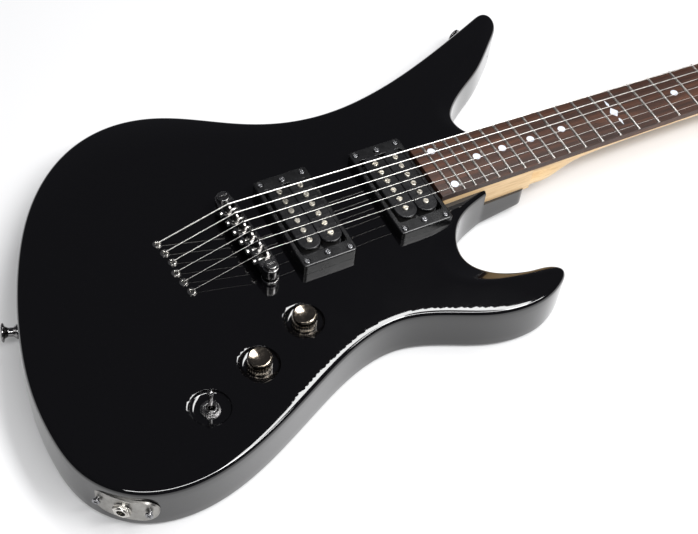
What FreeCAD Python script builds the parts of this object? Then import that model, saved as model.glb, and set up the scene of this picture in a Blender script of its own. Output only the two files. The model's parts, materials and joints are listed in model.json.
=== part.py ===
"""Electric guitar with a double-cutaway body, a bolt-on neck and two open-coil humbuckers.

Frame, in millimetres: the guitar lies on its back.  +Z is the outward normal of the body's top,
+X runs from the bridge to the headstock and +Y points to the bass side.  The origin is on the
centre line, under the nominal saddle line, on the plane of the body's back.
"""

import FreeCAD, Part
import math
import os

V = FreeCAD.Vector
X_AXIS = V(1, 0, 0)
Y_AXIS = V(0, 1, 0)
Z_AXIS = V(0, 0, 1)

# ---------------------------------------------------------------- driving dimensions
body_thickness = 43.0
top_edge_radius = 3.5
back_edge_radius = 4.0
outline_pieces = 8

scale_length = 647.7
fret_count = 24
neck_angle = 1.38
pocket_depth = 16.0
heel_taper_start_x = 181.0
heel_taper_rise = 0.17
heel_taper_tilt = 0.09
board_end_x = 151.2
nut_x = scale_length
neck_half_width_at_nut = 21.3
neck_half_width_at_end = 26.9
neck_above_body = 5.2
heel_end_x = 238.0
shaft_depth = 12.8

board_thickness = 6.4
board_radius = 400.0
fret_height = 1.25
fret_width = 2.6
fret_tang_depth = 1.7
fret_tang_width = 0.5

headstock_face_drop = 2.5
headstock_thickness = 12.5

string_gauges = [1.17, 0.91, 0.66, 0.43, 0.33, 0.25]
saddle_spacing = 10.33
nut_spacing = 7.0
saddle_height = 20.0
action_at_last_fret = 2.6

tuner_pitch = 25.4
tuner_line_angle = -15.4
first_post_x = 683.0

knob_radius = 9.5
knob_top_above_body = 8.9
recess_radius = 15.5
recess_depth = 3.0
cavity_roof = 34.0
control_places = {"volume": (3.0, -83.0), "tone": (-43.0, -104.0), "switch": (-90.0, -123.5)}

pickup_places = {"bridge": 43.8, "neck": 128.0}
ring_height = {"bridge": 10.0, "neck": 8.0}
pole_top_height = {"bridge": 14.0, "neck": 11.0}
pole_pitch = {"bridge": 10.4, "neck": 10.0}
coil_offset = 9.0

bridge_centre_x = -5.0
bridge_post_half_span = 37.1
bridge_turn = 3.86

jack_place = (-171.2, -161.2)
jack_height = 23.0
jack_normal_angle = 228.2
jack_bore_radius = 3.2

# ---------------------------------------------------------------- derived places
body_top = body_thickness
heel_ref_x = scale_length * 2 ** (-24 / 12)
neck_ref_z = body_top + neck_above_body
taper = (neck_half_width_at_end - neck_half_width_at_nut) / (nut_x - board_end_x)
saddle_z = body_top + saddle_height
last_fret_z = neck_ref_z + board_thickness + fret_height
string_drop = (saddle_z - last_fret_z - action_at_last_fret) / heel_ref_x


def vec(*values):
    return V(*values)


def half_width(x):
    """Half the neck's width at a place along it."""
    return neck_half_width_at_nut + taper * (nut_x - x)


def fret_place(number):
    return scale_length * 2 ** (-number / 12)


def on_neck(shape):
    """Move a shape drawn with the neck's glue plane at z = 0 into its tilted place."""
    placed = shape.copy()
    placed.translate(vec(0, 0, neck_ref_z))
    placed.rotate(vec(heel_ref_x, 0, neck_ref_z), Y_AXIS, neck_angle)
    return placed


def neck_point(x, y, z):
    """The same move for one point."""
    turn = FreeCAD.Rotation(Y_AXIS, neck_angle)
    pivot = vec(heel_ref_x, 0, neck_ref_z)
    return turn.multVec(vec(x, y, z + neck_ref_z) - pivot) + pivot


# ---------------------------------------------------------------- shape helpers
def box(x0, x1, y0, y1, z0, z1):
    return Part.makeBox(x1 - x0, y1 - y0, z1 - z0, vec(x0, y0, z0))


def rod(radius, start, end):
    """A round bar between two points."""
    span = end - start
    return Part.makeCylinder(radius, span.Length, start, span)


def drum(radius, x, y, z0, z1):
    """An upright cylinder."""
    return Part.makeCylinder(radius, z1 - z0, vec(x, y, z0), Z_AXIS)


def ring(outer, inner, x, y, z0, z1):
    return drum(outer, x, y, z0, z1).cut(drum(inner, x, y, z0 - 1, z1 + 1))


def hexagon(across_flats, x, y, z0, z1):
    corner = across_flats / math.sqrt(3)
    points = [vec(x + corner * math.cos(math.radians(60 * k)),
                  y + corner * math.sin(math.radians(60 * k)), z0) for k in range(7)]
    return Part.Face(Part.makePolygon(points)).extrude(vec(0, 0, z1 - z0))


def rounded_outline(points, radii, z=0.0):
    """A closed outline of straight sides with a tangent arc at each corner."""
    count = len(points)
    if not isinstance(radii, (list, tuple)):
        radii = [radii] * count
    corners = []
    for k in range(count):
        here = vec(points[k][0], points[k][1], z)
        before = vec(points[k - 1][0], points[k - 1][1], z) - here
        after = vec(points[(k + 1) % count][0], points[(k + 1) % count][1], z) - here
        before.normalize()
        after.normalize()
        half = before.getAngle(after) / 2
        reach = radii[k] / math.tan(half)
        middle = before + after
        middle.normalize()
        centre = here + middle * (radii[k] / math.sin(half))
        corners.append((here + before * reach, centre - middle * radii[k], here + after * reach))
    edges = []
    for k in range(count):
        start, middle, end = corners[k]
        edges.append(Part.Arc(start, middle, end).toShape())
        following = corners[(k + 1) % count][0]
        if (following - end).Length > 1e-6:
            edges.append(Part.LineSegment(end, following).toShape())
    return Part.Wire(edges)


def rounded_prism(points, radii, z0, z1):
    return Part.Face(rounded_outline(points, radii, z0)).extrude(vec(0, 0, z1 - z0))


def rounded_box(x, y, length, width, radius, z0, z1):
    """An upright block with rounded corners, centred at x, y."""
    a = length / 2
    b = width / 2
    return rounded_prism([(x - a, y - b), (x + a, y - b), (x + a, y + b), (x - a, y + b)],
                         radius, z0, z1)


def stadium(x, y, width, length, z0, z1):
    """A block with round ends, long in Y."""
    return rounded_box(x, y, width, length, width / 2 - 0.001, z0, z1)


def soften(shape, radius, choose):
    """Round the edges that choose(edge) picks."""
    edges = [edge for edge in shape.Edges if choose(edge)]
    return shape.makeFillet(radius, edges)


def level_edge(z):
    """Pick edges that lie in one level plane."""
    return lambda edge: all(abs(vertex.Z - z) < 1e-4 for vertex in edge.Vertexes) and \
        edge.BoundBox.ZLength < 1e-3


def turned(profile, x, y):
    """A solid turned about an upright axis from (radius, height) points."""
    points = [vec(r, 0, z) for r, z in profile]
    points.append(points[0])
    solid = Part.Face(Part.makePolygon(points)).revolve(vec(0, 0, 0), Z_AXIS, 360)
    solid.translate(vec(x, y, 0))
    return solid


def screw(radius, head_radius, head_height, length, slot="cross"):
    """A pan-head screw, its shank down -Z, its head's underside at z = 0."""
    head = Part.makeCylinder(head_radius, head_height)
    head = soften(head, head_height * 0.45, level_edge(head_height))
    shank = Part.makeCylinder(radius, length, vec(0, 0, -length))
    body = head.fuse(shank)
    reach = head_radius * 0.62
    width = head_radius * 0.13
    depth = head_height * 0.6
    body = body.cut(box(-reach, reach, -width, width, head_height - depth, head_height + 1))
    if slot == "cross":
        body = body.cut(box(-width, width, -reach, reach, head_height - depth, head_height + 1))
    return body


def aim(shape, place, direction):
    """Turn a shape's +Z to a direction and move its origin to a place."""
    moved = shape.copy()
    moved.Placement = FreeCAD.Placement(place, FreeCAD.Rotation(Z_AXIS, direction))
    return moved


def group(shapes):
    return Part.makeCompound(shapes)


def rounded_path(points, radii):
    """Straight runs joined by tangent arcs, one radius for each inner point."""
    edges = []
    start = points[0]
    for k in range(1, len(points) - 1):
        here = points[k]
        back = points[k - 1] - here
        ahead = points[k + 1] - here
        back.normalize()
        ahead.normalize()
        half = back.getAngle(ahead) / 2
        reach = radii[k - 1] / math.tan(half)
        middle = back + ahead
        middle.normalize()
        centre = here + middle * (radii[k - 1] / math.sin(half))
        first = here + back * reach
        last = here + ahead * reach
        edges.append(Part.LineSegment(start, first).toShape())
        edges.append(Part.Arc(first, centre - middle * radii[k - 1], last).toShape())
        start = last
    edges.append(Part.LineSegment(start, points[-1]).toShape())
    return Part.Wire(edges)


def tube_along(path, radius):
    """A solid round tube along a wire."""
    first = path.OrderedEdges[0]
    start = first.valueAt(first.FirstParameter)
    direction = first.tangentAt(first.FirstParameter)
    profile = Part.Wire([Part.makeCircle(radius, start, direction)])
    return path.makePipeShell([profile], True, False)


# ---------------------------------------------------------------- body
# The outline runs from the treble side of the neck, round the treble horn, the waist, the tail,
# the bass side and the bass horn, and ends at the bass side of the neck.
body_outline = [
    (188, -28.8), (163.4, -40.6), (148.4, -58.2), (146, -78.4), (161, -97.2), (185.5, -108.4),
    (203.8, -112.8), (208.2, -119.2), (198.8, -130.4), (170, -139.6), (139, -136), (105.8, -122.2),
    (72, -111.8), (38, -115.7), (-3, -132.4), (-51, -155.8), (-93, -171), (-129, -174.8),
    (-163, -165), (-188.7, -136.8), (-197.6, -98.6), (-197.6, -60.2), (-189.4, -13), (-170.1, 46.1),
    (-122.2, 124.7), (-90, 149.5), (-48, 160.6), (-13.8, 154.7), (16.3, 138.3), (45.3, 120.1),
    (76.9, 106.7), (112.4, 101.4), (153.5, 105.8), (201.2, 119.1), (250.4, 138), (288.2, 154.1),
    (299.6, 156.2), (305, 150.6), (292.6, 128.6), (262, 101.7), (223.8, 74.2), (210.4, 54.6),
    (212, 38.3), (218.8, 28.8)]

# Stations of each carved slope: a point on its ridge, a point beyond the edge and the drop there.
treble_scoop = [
    ((158, -38), (170, -50), 0.4), ((131, -50), (156, -62), 5), ((113, -72), (158, -74), 9),
    ((117, -92), (160, -82), 10), ((133, -105), (166, -90), 10.5), ((155, -112.5), (174, -94), 11),
    ((180, -117.5), (189, -98), 10), ((203, -121), (214, -103), 9), ((218, -124), (230, -108), 8)]
bass_scoop = [
    ((310, 164), (322, 152), 9), ((297, 150.5), (310, 137), 10), ((275.6, 131.5), (288, 114), 11),
    ((250.9, 117), (264, 95), 12), ((226.6, 99.3), (243, 79), 11), ((206, 82), (227, 66), 9),
    ((195, 64), (222, 54), 7), ((195, 49), (224, 42), 4), ((204, 37), (222, 34), 0.4)]
arm_slope = [
    ((-172, -30), (-198, -30), 0.3), ((-160, 12), (-188, 12), 2), ((-138, 52), (-174, 58), 4),
    ((-112, 84), (-148, 110), 6), ((-82, 106), (-102, 152), 7.5), ((-40, 116), (-44, 168), 8),
    ((5, 106), (24, 146), 7), ((45, 92), (58, 126), 5), ((80, 86), (85, 117), 3),
    ((122, 92), (122, 112), 0.3)]
belly_slope = [
    ((-90, 118), (-98, 165), 0.4), ((-45, 92), (-46, 172), 12), ((10, 74), (24, 152), 18),
    ((62, 68), (74, 124), 14), ((112, 84), (114, 116), 0.4)]


def slope_cutter(stations, level, outward, tangent):
    """Material to remove outside a carved slope.

    outward is +1 on the top and -1 on the back.  A tangent slope leaves the flat surface without
    a crease; the other kind is straight across.
    """
    sections = []
    clear = 12.0 * outward
    for inner, outer, drop in stations:
        ridge = vec(inner[0], inner[1], level)
        low = vec(outer[0], outer[1], level - drop * outward)
        width = math.hypot(outer[0] - inner[0], outer[1] - inner[1])
        middle = (ridge + low) * 0.5
        if tangent:
            sag = drop / 2 - drop / 4
        else:
            sag = 0.02 * width
        middle = middle + vec(0, 0, sag * outward)
        high_outer = vec(outer[0], outer[1], level + clear)
        high_inner = vec(inner[0], inner[1], level + clear)
        edges = [Part.Arc(ridge, middle, low).toShape(),
                 Part.LineSegment(low, high_outer).toShape(),
                 Part.LineSegment(high_outer, high_inner).toShape(),
                 Part.LineSegment(high_inner, ridge).toShape()]
        sections.append(Part.Wire(edges))
    return Part.makeLoft(sections, True, False)


def outline_prism():
    """The body's plan, straight up from back to top."""
    curve = Part.BSplineCurve()
    curve.interpolate([vec(x, y, 0) for x, y in body_outline])
    first = curve.FirstParameter
    step = (curve.LastParameter - first) / outline_pieces
    start = vec(*body_outline[0], 0)
    end = vec(*body_outline[-1], 0)
    heel = [end, vec(heel_end_x - 4, 27.9, 0), vec(heel_end_x, 22, 0),
            vec(heel_end_x - 3, -22, 0), vec(heel_end_x - 7.5, -27.9, 0), start]
    edges = [curve.toShape(first + step * k, first + step * (k + 1)) for k in range(outline_pieces)]
    for k in range(len(heel) - 1):
        edges.append(Part.LineSegment(heel[k], heel[k + 1]).toShape())
    return Part.Face(Part.Wire(edges)).extrude(vec(0, 0, body_thickness))


def body_blank():
    """The solid body with its rounded edges and carved slopes."""
    block = outline_prism()
    for radius, level in ((back_edge_radius, 0), (top_edge_radius, body_top)):
        on_level = level_edge(level)
        block = soften(block, radius, lambda edge: on_level(edge) and edge.Length > 100)
    for stations, outward, tangent in ((treble_scoop, 1, False), (bass_scoop, 1, False),
                                       (arm_slope, 1, True), (belly_slope, -1, True)):
        level = body_top if outward > 0 else 0
        block = block.cut(slope_cutter(stations, level, outward, tangent))
    underside = box(0, 60, -60, 60, -30, 0)
    underside.rotate(vec(0, 0, 0), Y_AXIS, -24)
    underside.rotate(vec(0, 0, 0), Z_AXIS, -33)
    underside.translate(vec(181, -119, -5))
    heel_back = box(0, 90, -70, 70, -40, 0)
    heel_back.rotate(vec(0, 0, 0), Y_AXIS, -math.degrees(math.atan(heel_taper_rise)))
    heel_back.rotate(vec(0, 0, 0), X_AXIS, -math.degrees(math.atan(heel_taper_tilt)))
    heel_back.translate(vec(heel_taper_start_x, -neck_half_width_at_end, 0))
    return block.cut([underside, heel_back])


def neck_prism(x0, x1, grow, z0, z1):
    """A block with the neck's taper in plan, drawn with the glue plane at z = 0."""
    corners = [(x0, -half_width(x0) - grow), (x1, -half_width(x1) - grow),
               (x1, half_width(x1) + grow), (x0, half_width(x0) + grow)]
    points = [vec(x, y, z0) for x, y in corners]
    points.append(points[0])
    return Part.Face(Part.makePolygon(points)).extrude(vec(0, 0, z1 - z0))


control_cavity_points = [(24, -72), (20, -108), (-46, -131), (-88, -149), (-136, -150),
                         (-146, -128), (-112, -104), (-62, -86), (-12, -62)]
cover_points = [(31, -68), (26, -113), (-46, -138), (-88, -156), (-139, -157),
                (-153, -126), (-114, -97), (-64, -79), (-14, -55)]
cover_screw_places = [(22, -75), (-14, -62), (-50, -132.5), (-94, -150.5), (-146, -131), (-88, -98)]
cover_thickness = 2.0


def dished_recess(x, y):
    """The shallow round hollow that a control sits in."""
    wall = Part.Arc(vec(recess_radius - 4.5, 0, -recess_depth),
                    vec(recess_radius - 1.6, 0, -recess_depth * 0.72),
                    vec(recess_radius, 0, 0.0)).toShape()
    corners = [vec(recess_radius, 0, 0), vec(recess_radius, 0, 2), vec(0, 0, 2),
               vec(0, 0, -recess_depth), vec(recess_radius - 4.5, 0, -recess_depth)]
    edges = [wall]
    for k in range(len(corners) - 1):
        edges.append(Part.LineSegment(corners[k], corners[k + 1]).toShape())
    hollow = Part.Face(Part.Wire(edges)).revolve(vec(0, 0, 0), Z_AXIS, 360)
    hollow.translate(vec(x, y, body_top))
    return hollow


def jack_frame():
    """Outward direction and centre of the jack plate's outer face."""
    angle = math.radians(jack_normal_angle)
    direction = vec(math.cos(angle), math.sin(angle), 0)
    return vec(jack_place[0], jack_place[1], jack_height), direction


# ---------------------------------------------------------------- strings, bridge places
def string_y_at(x, k):
    """Sideways place of string k, 0 being the lowest, at a distance along the neck."""
    start = saddle_spacing * (2.5 - k)
    end = nut_spacing * (2.5 - k)
    return start + (end - start) * x / nut_x


def saddle_place(k):
    y = saddle_spacing * (2.5 - k)
    return -5.5 - 0.137 * y, y


def string_height(x, y):
    """Height of a string's lower side, allowing for the board's curve."""
    return saddle_z - string_drop * x - y * y / (2 * board_radius)


def ferrule_place(k):
    y = saddle_spacing * (2.5 - k)
    setback = 3.6 if k > 2 else 0.0
    return -62.2 - 0.185 * y - setback, y


def on_bridge(shape):
    """Move a shape drawn about the bridge's middle, long in Y, into its turned place."""
    placed = shape.copy()
    placed.rotate(vec(0, 0, 0), Z_AXIS, bridge_turn)
    placed.translate(vec(bridge_centre_x, 0, 0))
    return placed


def bridge_local(x, y):
    """A place on the top, seen from the bridge's own middle and direction."""
    turn = FreeCAD.Rotation(Z_AXIS, -bridge_turn)
    local = turn.multVec(vec(x - bridge_centre_x, y, 0))
    return local.x, local.y


# ---------------------------------------------------------------- bridge
bar_width = 14.0
bar_bottom = body_top + 7.0
bar_top = body_top + 14.0
slot_length = 10.0
slot_width = 7.6
slot_floor = bar_bottom + 1.6
screw_line_z = body_top + 11.0
saddle_length = 4.0
saddle_screw_radius = 1.25
post_screw_radius = 3.0


def post_places():
    for side in (-1, 1):
        centre = on_bridge(Part.Vertex(vec(0, side * bridge_post_half_span, 0))).Point
        yield centre.x, centre.y


def bridge_base():
    """The bridge's bar with its end lobes, saddle slots and screw holes."""
    reach = bridge_post_half_span
    bar = rounded_box(0, 0, bar_width, 2 * reach - 2, 3, bar_bottom, bar_top)
    for side in (-1, 1):
        bar = bar.fuse(drum(6.4, 0, side * reach, bar_bottom, bar_top))
    bar = bar.removeSplitter()
    bar = soften(bar, 0.8, level_edge(bar_top))
    cuts = []
    for k in range(6):
        x, y = bridge_local(*saddle_place(k))
        cuts.append(box(-slot_length / 2, slot_length / 2, y - slot_width / 2, y + slot_width / 2,
                        slot_floor, bar_top + 1))
        cuts.append(rod(saddle_screw_radius + 0.05, vec(-bar_width, y, screw_line_z),
                        vec(bar_width / 2 - 0.8, y, screw_line_z)))
    for side in (-1, 1):
        cuts.append(drum(post_screw_radius + 0.1, 0, side * reach, bar_bottom - 1, bar_top + 1))
    return on_bridge(bar.cut(cuts))


def saddle(k):
    """One saddle: a roof-topped block with a screw hole and a string notch."""
    x, y = bridge_local(*saddle_place(k))
    crest_x, crest_y = saddle_place(k)
    crest = string_height(crest_x, crest_y)
    half = slot_width / 2 - 0.1
    base = slot_floor + 0.1
    shoulder = bar_top + 0.4
    outline = [vec(-saddle_length / 2, -half, base), vec(saddle_length / 2, -half, base),
               vec(saddle_length / 2, -half, shoulder), vec(0.9, -half, crest + 0.7),
               vec(-0.2, -half, crest + 0.7), vec(-saddle_length / 2, -half, shoulder)]
    outline.append(outline[0])
    block = Part.Face(Part.makePolygon(outline)).extrude(vec(0, 2 * half, 0))
    for side in (-1, 1):
        shoulder_cut = box(-5, 5, 0, 6, 0, 20)
        shoulder_cut.rotate(vec(0, 0, 0), X_AXIS, -22)
        shoulder_cut.translate(vec(0, 2.0, crest + 0.2))
        if side < 0:
            shoulder_cut = shoulder_cut.mirror(vec(0, 0, 0), Y_AXIS)
        block = block.cut(shoulder_cut)
    hole = rod(saddle_screw_radius + 0.06, vec(-5, 0, screw_line_z), vec(5, 0, screw_line_z))
    block = block.cut(hole)
    block.translate(vec(x, y, 0))
    return on_bridge(block).cut(string_solid(k, 0.03))


def saddle_screws():
    """Six screws with their heads on the tail side of the bridge."""
    screws = []
    for k in range(6):
        y = bridge_local(*saddle_place(k))[1]
        head = -bar_width / 2
        shank = rod(saddle_screw_radius, vec(head - 0.1, y, screw_line_z),
                    vec(bar_width / 2 - 0.9, y, screw_line_z))
        cap = rod(2.1, vec(head - 1.8, y, screw_line_z), vec(head, y, screw_line_z))
        cap = cap.cut(box(head - 2, head - 1.0, y - 0.3, y + 0.3, screw_line_z - 3, screw_line_z + 3))
        screws.append(on_bridge(shank.fuse(cap)))
    return group(screws)


def bridge_posts():
    posts = []
    for x, y in post_places():
        shank = drum(post_screw_radius, x, y, body_top - 16, bar_top)
        cap = drum(5.0, x, y, bar_top, bar_top + 2.9)
        cap = soften(cap, 0.7, level_edge(bar_top + 2.9))
        slot = box(x - 3.4, x + 3.4, y - 0.6, y + 0.6, bar_top + 1.4, bar_top + 4)
        posts.append(shank.fuse(cap).cut(slot))
    return group(posts)


def bridge_thumbwheels():
    wheels = []
    for x, y in post_places():
        wheel = ring(6.2, post_screw_radius, x, y, bar_bottom - 2.2, bar_bottom)
        notches = [drum(0.35, x + 6.3 * math.cos(math.radians(20 * k)),
                        y + 6.3 * math.sin(math.radians(20 * k)), 0, 80) for k in range(18)]
        wheels.append(wheel.cut(notches))
    return group(wheels)


def bridge_bushings():
    parts = []
    for x, y in post_places():
        flange = drum(6.8, x, y, body_top, body_top + 1.4)
        flange = soften(flange, 0.6, level_edge(body_top + 1.4))
        sleeve = drum(5.5, x, y, body_top - 17.5, body_top)
        parts.append(flange.fuse(sleeve).cut(drum(post_screw_radius, x, y, body_top - 16, 80)))
    return group(parts)


# ---------------------------------------------------------------- string ferrules and strings
ferrule_flange_radius = 3.6
back_ferrule_radius = 4.2


def string_ferrules():
    parts = []
    for k in range(6):
        x, y = ferrule_place(k)
        profile = [(1.1, body_top - 6), (2.6, body_top - 6), (2.6, body_top),
                   (ferrule_flange_radius, body_top), (ferrule_flange_radius, body_top + 0.6),
                   (2.9, body_top + 1.2), (1.7, body_top + 1.3), (1.1, body_top + 0.8)]
        parts.append(turned(profile, x, y))
        cup = [(1.1, 7.0), (1.1, 9.0), (back_ferrule_radius, 9.0), (back_ferrule_radius, 0.3),
               (3.9, 0.0), (3.0, 0.0), (2.8, 0.3), (2.8, 7.0)]
        parts.append(turned(cup, x, y))
    return group(parts)


def post_centre(k):
    """Tuner post k's place in plan; k = 0 holds the lowest string, nearest the nut."""
    angle = math.radians(tuner_line_angle)
    return (first_post_x + tuner_pitch * k * math.cos(angle),
            20.6 + tuner_pitch * k * math.sin(angle))


wrap_height = 3.2
post_radius = 3.0
post_waist_radius = 2.65
tree_x = 716.0


def wrap_reach(k):
    """Distance from a post's axis to the centre line of the string that arrives outside its turns."""
    return post_waist_radius + 1.5 * string_gauges[k] + 0.08


def string_points(k):
    """The string's centre line from its ball end to its tuner post."""
    radius = string_gauges[k] / 2
    fx, fy = ferrule_place(k)
    sx, sy = saddle_place(k)
    nut_y = string_y_at(nut_x, k)
    post_x, post_y = post_centre(k)
    nut_crest = vec(nut_x + 1.6, nut_y, string_height(nut_x, nut_y) + radius)
    tangent_y = post_y - wrap_reach(k)
    end = neck_point(post_x - 0.3, tangent_y, wrap_height + radius)
    points = [vec(fx, fy, 3.4), vec(fx, fy, body_top + 1.5),
              vec(sx, sy, string_height(sx, sy) + radius), nut_crest]
    radii = [1.2 + radius, 3.0, 4.0]
    if k > 3:
        share = (tree_x - nut_x) / (post_x - nut_x)
        across = nut_y + (tangent_y - nut_y) * share
        points.append(neck_point(tree_x, across, 3.0))
        radii.append(4.0)
    points.append(end)
    return points, radii


def string_solid(k, grow=0.0):
    points, radii = string_points(k)
    return tube_along(rounded_path(points, radii), string_gauges[k] / 2 + grow)


def ball_end(k):
    x, y = ferrule_place(k)
    return ring(2.0, string_gauges[k] / 2, x, y, 3.4, 6.9)


# ---------------------------------------------------------------- neck, board, frets and nut
face_start_x = nut_x + 16.0
headstock_outline = [(646, -21.4), (662, -22.5), (700, -32), (790, -41), (826, -44), (838, -36),
                     (834, -14), (812, -2), (676, 36), (664, 33), (655, 21.3), (646, 21.3)]
headstock_radii = [0.5, 30, 60, 60, 10, 12, 10, 14, 6, 7, 12, 0.5]
truss_channel_half = 3.1
truss_channel_depth = 9.0
truss_start_x = heel_ref_x + 4
neck_screw_places = [(176, -19), (176, 19), (214, -19), (214, 19)]
neck_screw_radius = 2.3
neck_cup_radius = 7.0
neck_cup_height = 3.2
neck_cup_lip = 1.2
neck_head_radius = 4.4


def neck_section(x, half, depth, squareness):
    """One cross-section of the neck: flat on top and a squarish round below."""
    curve = Part.BSplineCurve()
    points = []
    for k in range(13):
        angle = math.pi * k / 12
        side = math.cos(angle)
        y = math.copysign(abs(side) ** (2 / squareness), side) * half
        points.append(vec(x, y, -depth * math.sin(angle) ** (2 / squareness)))
    curve.interpolate(points)
    return Part.Wire([curve.toShape(), Part.LineSegment(points[-1], points[0]).toShape()])


def neck():
    heel_depth = neck_above_body + pocket_depth
    heel = neck_prism(board_end_x, heel_end_x, 0, -heel_depth, 0)
    heel = soften(heel, 2.5, lambda edge: edge.BoundBox.ZLength > 5 and
                  edge.BoundBox.XMin < board_end_x + 1)
    stations = [(heel_end_x, heel_depth, 12), (heel_end_x + 14, heel_depth - 0.1, 11),
                (heel_end_x + 22, heel_depth - 0.9, 7.5), (heel_end_x + 31, 18.0, 4.6),
                (heel_end_x + 43, 14.6, 3.0), (heel_end_x + 62, shaft_depth, 2.3),
                (430, shaft_depth - 0.1, 2.1), (540, shaft_depth - 0.3, 2.1),
                (615, shaft_depth - 0.3, 2.1), (645, shaft_depth, 2.4), (662, 15.0, 4)]
    sections = [neck_section(x, half_width(min(x, nut_x)), depth, power)
                for x, depth, power in stations]
    shaft = Part.makeLoft(sections, True, False)
    face = -headstock_face_drop
    head = rounded_prism(headstock_outline, headstock_radii, face - headstock_thickness, 0)
    head = soften(head, 1.6, level_edge(face - headstock_thickness))
    head = head.cut(box(face_start_x, 900, -80, 80, face, 10))
    ramp = rod(12, vec(face_start_x, -80, face + 12), vec(face_start_x, 80, face + 12))
    above_glue = box(board_end_x - 5, nut_x - 0.2, -60, 60, 0, 8)
    solid = heel.fuse([shaft, head]).cut([ramp, above_glue])
    channel = box(truss_start_x, nut_x + 22, -truss_channel_half, truss_channel_half,
                  -truss_channel_depth, 12)
    pocket = box(nut_x + 6, nut_x + 24, -5.5, 5.5, -truss_channel_depth - 0.8, 12)
    cuts = [channel, pocket]
    for k in range(6):
        x, y = post_centre(k)
        cuts.append(drum(bushing_radius, x, y, -40, 10))
    solid = on_neck(solid.cut(cuts))
    for x, y in neck_screw_places:
        solid = solid.cut(drum(neck_screw_radius, x, y, 0, neck_screw_top))
    return solid.cut(small_screws_in_neck())


def board_blank(z0=0.0):
    """The fretboard's outline cut from a round-topped bar."""
    plank = neck_prism(board_end_x, nut_x, 0, z0, board_thickness + 1)
    axis_z = board_thickness - board_radius
    round_bar = rod(board_radius, vec(board_end_x - 5, 0, axis_z), vec(nut_x + 5, 0, axis_z))
    return plank.common(round_bar)


def turn_over_board(profile, half):
    """Sweep a profile drawn at y = 0 across the board's curved top."""
    angle = math.degrees(math.asin(half / board_radius))
    centre = vec(0, 0, board_thickness - board_radius)
    start = profile.copy()
    start.rotate(centre, X_AXIS, angle)
    return start.revolve(centre, X_AXIS, -2 * angle)


def fret(number):
    x = fret_place(number)
    top = board_thickness
    half = fret_width / 2
    web = fret_tang_width / 2
    corners = [vec(x + half, 0, top), vec(x + web, 0, top), vec(x + web, 0, top - fret_tang_depth),
               vec(x - web, 0, top - fret_tang_depth), vec(x - web, 0, top), vec(x - half, 0, top)]
    edges = [Part.Arc(corners[-1], vec(x, 0, top + fret_height), corners[0]).toShape()]
    for k in range(len(corners) - 1):
        edges.append(Part.LineSegment(corners[k], corners[k + 1]).toShape())
    return turn_over_board(Part.Face(Part.Wire(edges)), half_width(x) - 0.25)


def frets():
    return on_neck(group([fret(number) for number in range(1, fret_count + 1)]))


def fret_slot(number):
    x = fret_place(number)
    web = fret_tang_width / 2
    floor = board_thickness - fret_tang_depth
    points = [vec(x - web, 0, floor), vec(x + web, 0, floor),
              vec(x + web, 0, board_thickness + 1), vec(x - web, 0, board_thickness + 1)]
    points.append(points[0])
    return turn_over_board(Part.Face(Part.makePolygon(points)), half_width(x) + 1)


inlay_depth = 1.6
single_dot_frets = [3, 5, 7, 9, 15, 17, 19, 21]
double_dot_offset = 19.0
dot_radius = 3.25
side_dot_radius = 1.0


def dot_holes():
    """Round bars where the position dots go, top and side."""
    bars = []
    floor = board_thickness - inlay_depth - 0.3
    for number in single_dot_frets + [fret_count]:
        x = (fret_place(number) + fret_place(number - 1)) / 2
        offsets = [-double_dot_offset, double_dot_offset] if number == fret_count else [0]
        for y in offsets:
            bars.append(drum(dot_radius, x, y, floor, board_thickness + 1))
    for number in single_dot_frets + [12, fret_count]:
        x = (fret_place(number) + fret_place(number - 1)) / 2
        shifts = [-3, 3] if number in (12, fret_count) else [0]
        for shift in shifts:
            edge = half_width(x + shift)
            bars.append(rod(side_dot_radius, vec(x + shift, edge - 2.5, board_thickness / 2),
                            vec(x + shift, edge + 1, board_thickness / 2)))
    return bars


def emblem_holes():
    """A plain lozenge at the twelfth fret with a slim pointed leaf on each side."""
    x = (fret_place(12) + fret_place(11)) / 2
    floor = board_thickness - inlay_depth - 0.3
    lozenge = [(x - 4.0, 0), (x, -5.5), (x + 4.0, 0), (x, 5.5)]
    shapes = [rounded_prism(lozenge, 0.6, floor, board_thickness + 1)]
    for side in (-1, 1):
        leaf = [(x - 1.3, side * 9.5), (x, side * 7.0), (x + 1.3, side * 9.5), (x, side * 15.5)]
        shapes.append(rounded_prism(leaf, 0.2, floor, board_thickness + 1))
    return shapes


def fretboard():
    holes = dot_holes() + emblem_holes()
    holes += [fret_slot(number) for number in range(1, fret_count + 1)]
    return on_neck(board_blank().cut(holes))


def position_dots():
    blank = board_blank()
    return on_neck(group([bar.common(blank) for bar in dot_holes()]))


def twelfth_fret_inlay():
    blank = board_blank()
    return group([on_neck(hole.common(blank)) for hole in emblem_holes()])


nut_length = 3.6
slot_clearance = 0.03


def nut_slots(k):
    """Two open grooves, ahead of and behind the nut's crest, for one string."""
    points = string_points(k)[0]
    crest = points[3]
    radius = string_gauges[k] / 2 + slot_clearance
    slots = []
    for other in (points[2], points[4]):
        direction = other - crest
        direction.normalize()
        turn = FreeCAD.Rotation(direction, Z_AXIS.cross(direction), Z_AXIS, "XZY")
        groove = box(-0.05, 9, -radius, radius, -radius, 5)
        slots.append(groove.transformGeometry(FreeCAD.Placement(crest, turn).toMatrix()))
    return slots


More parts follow.
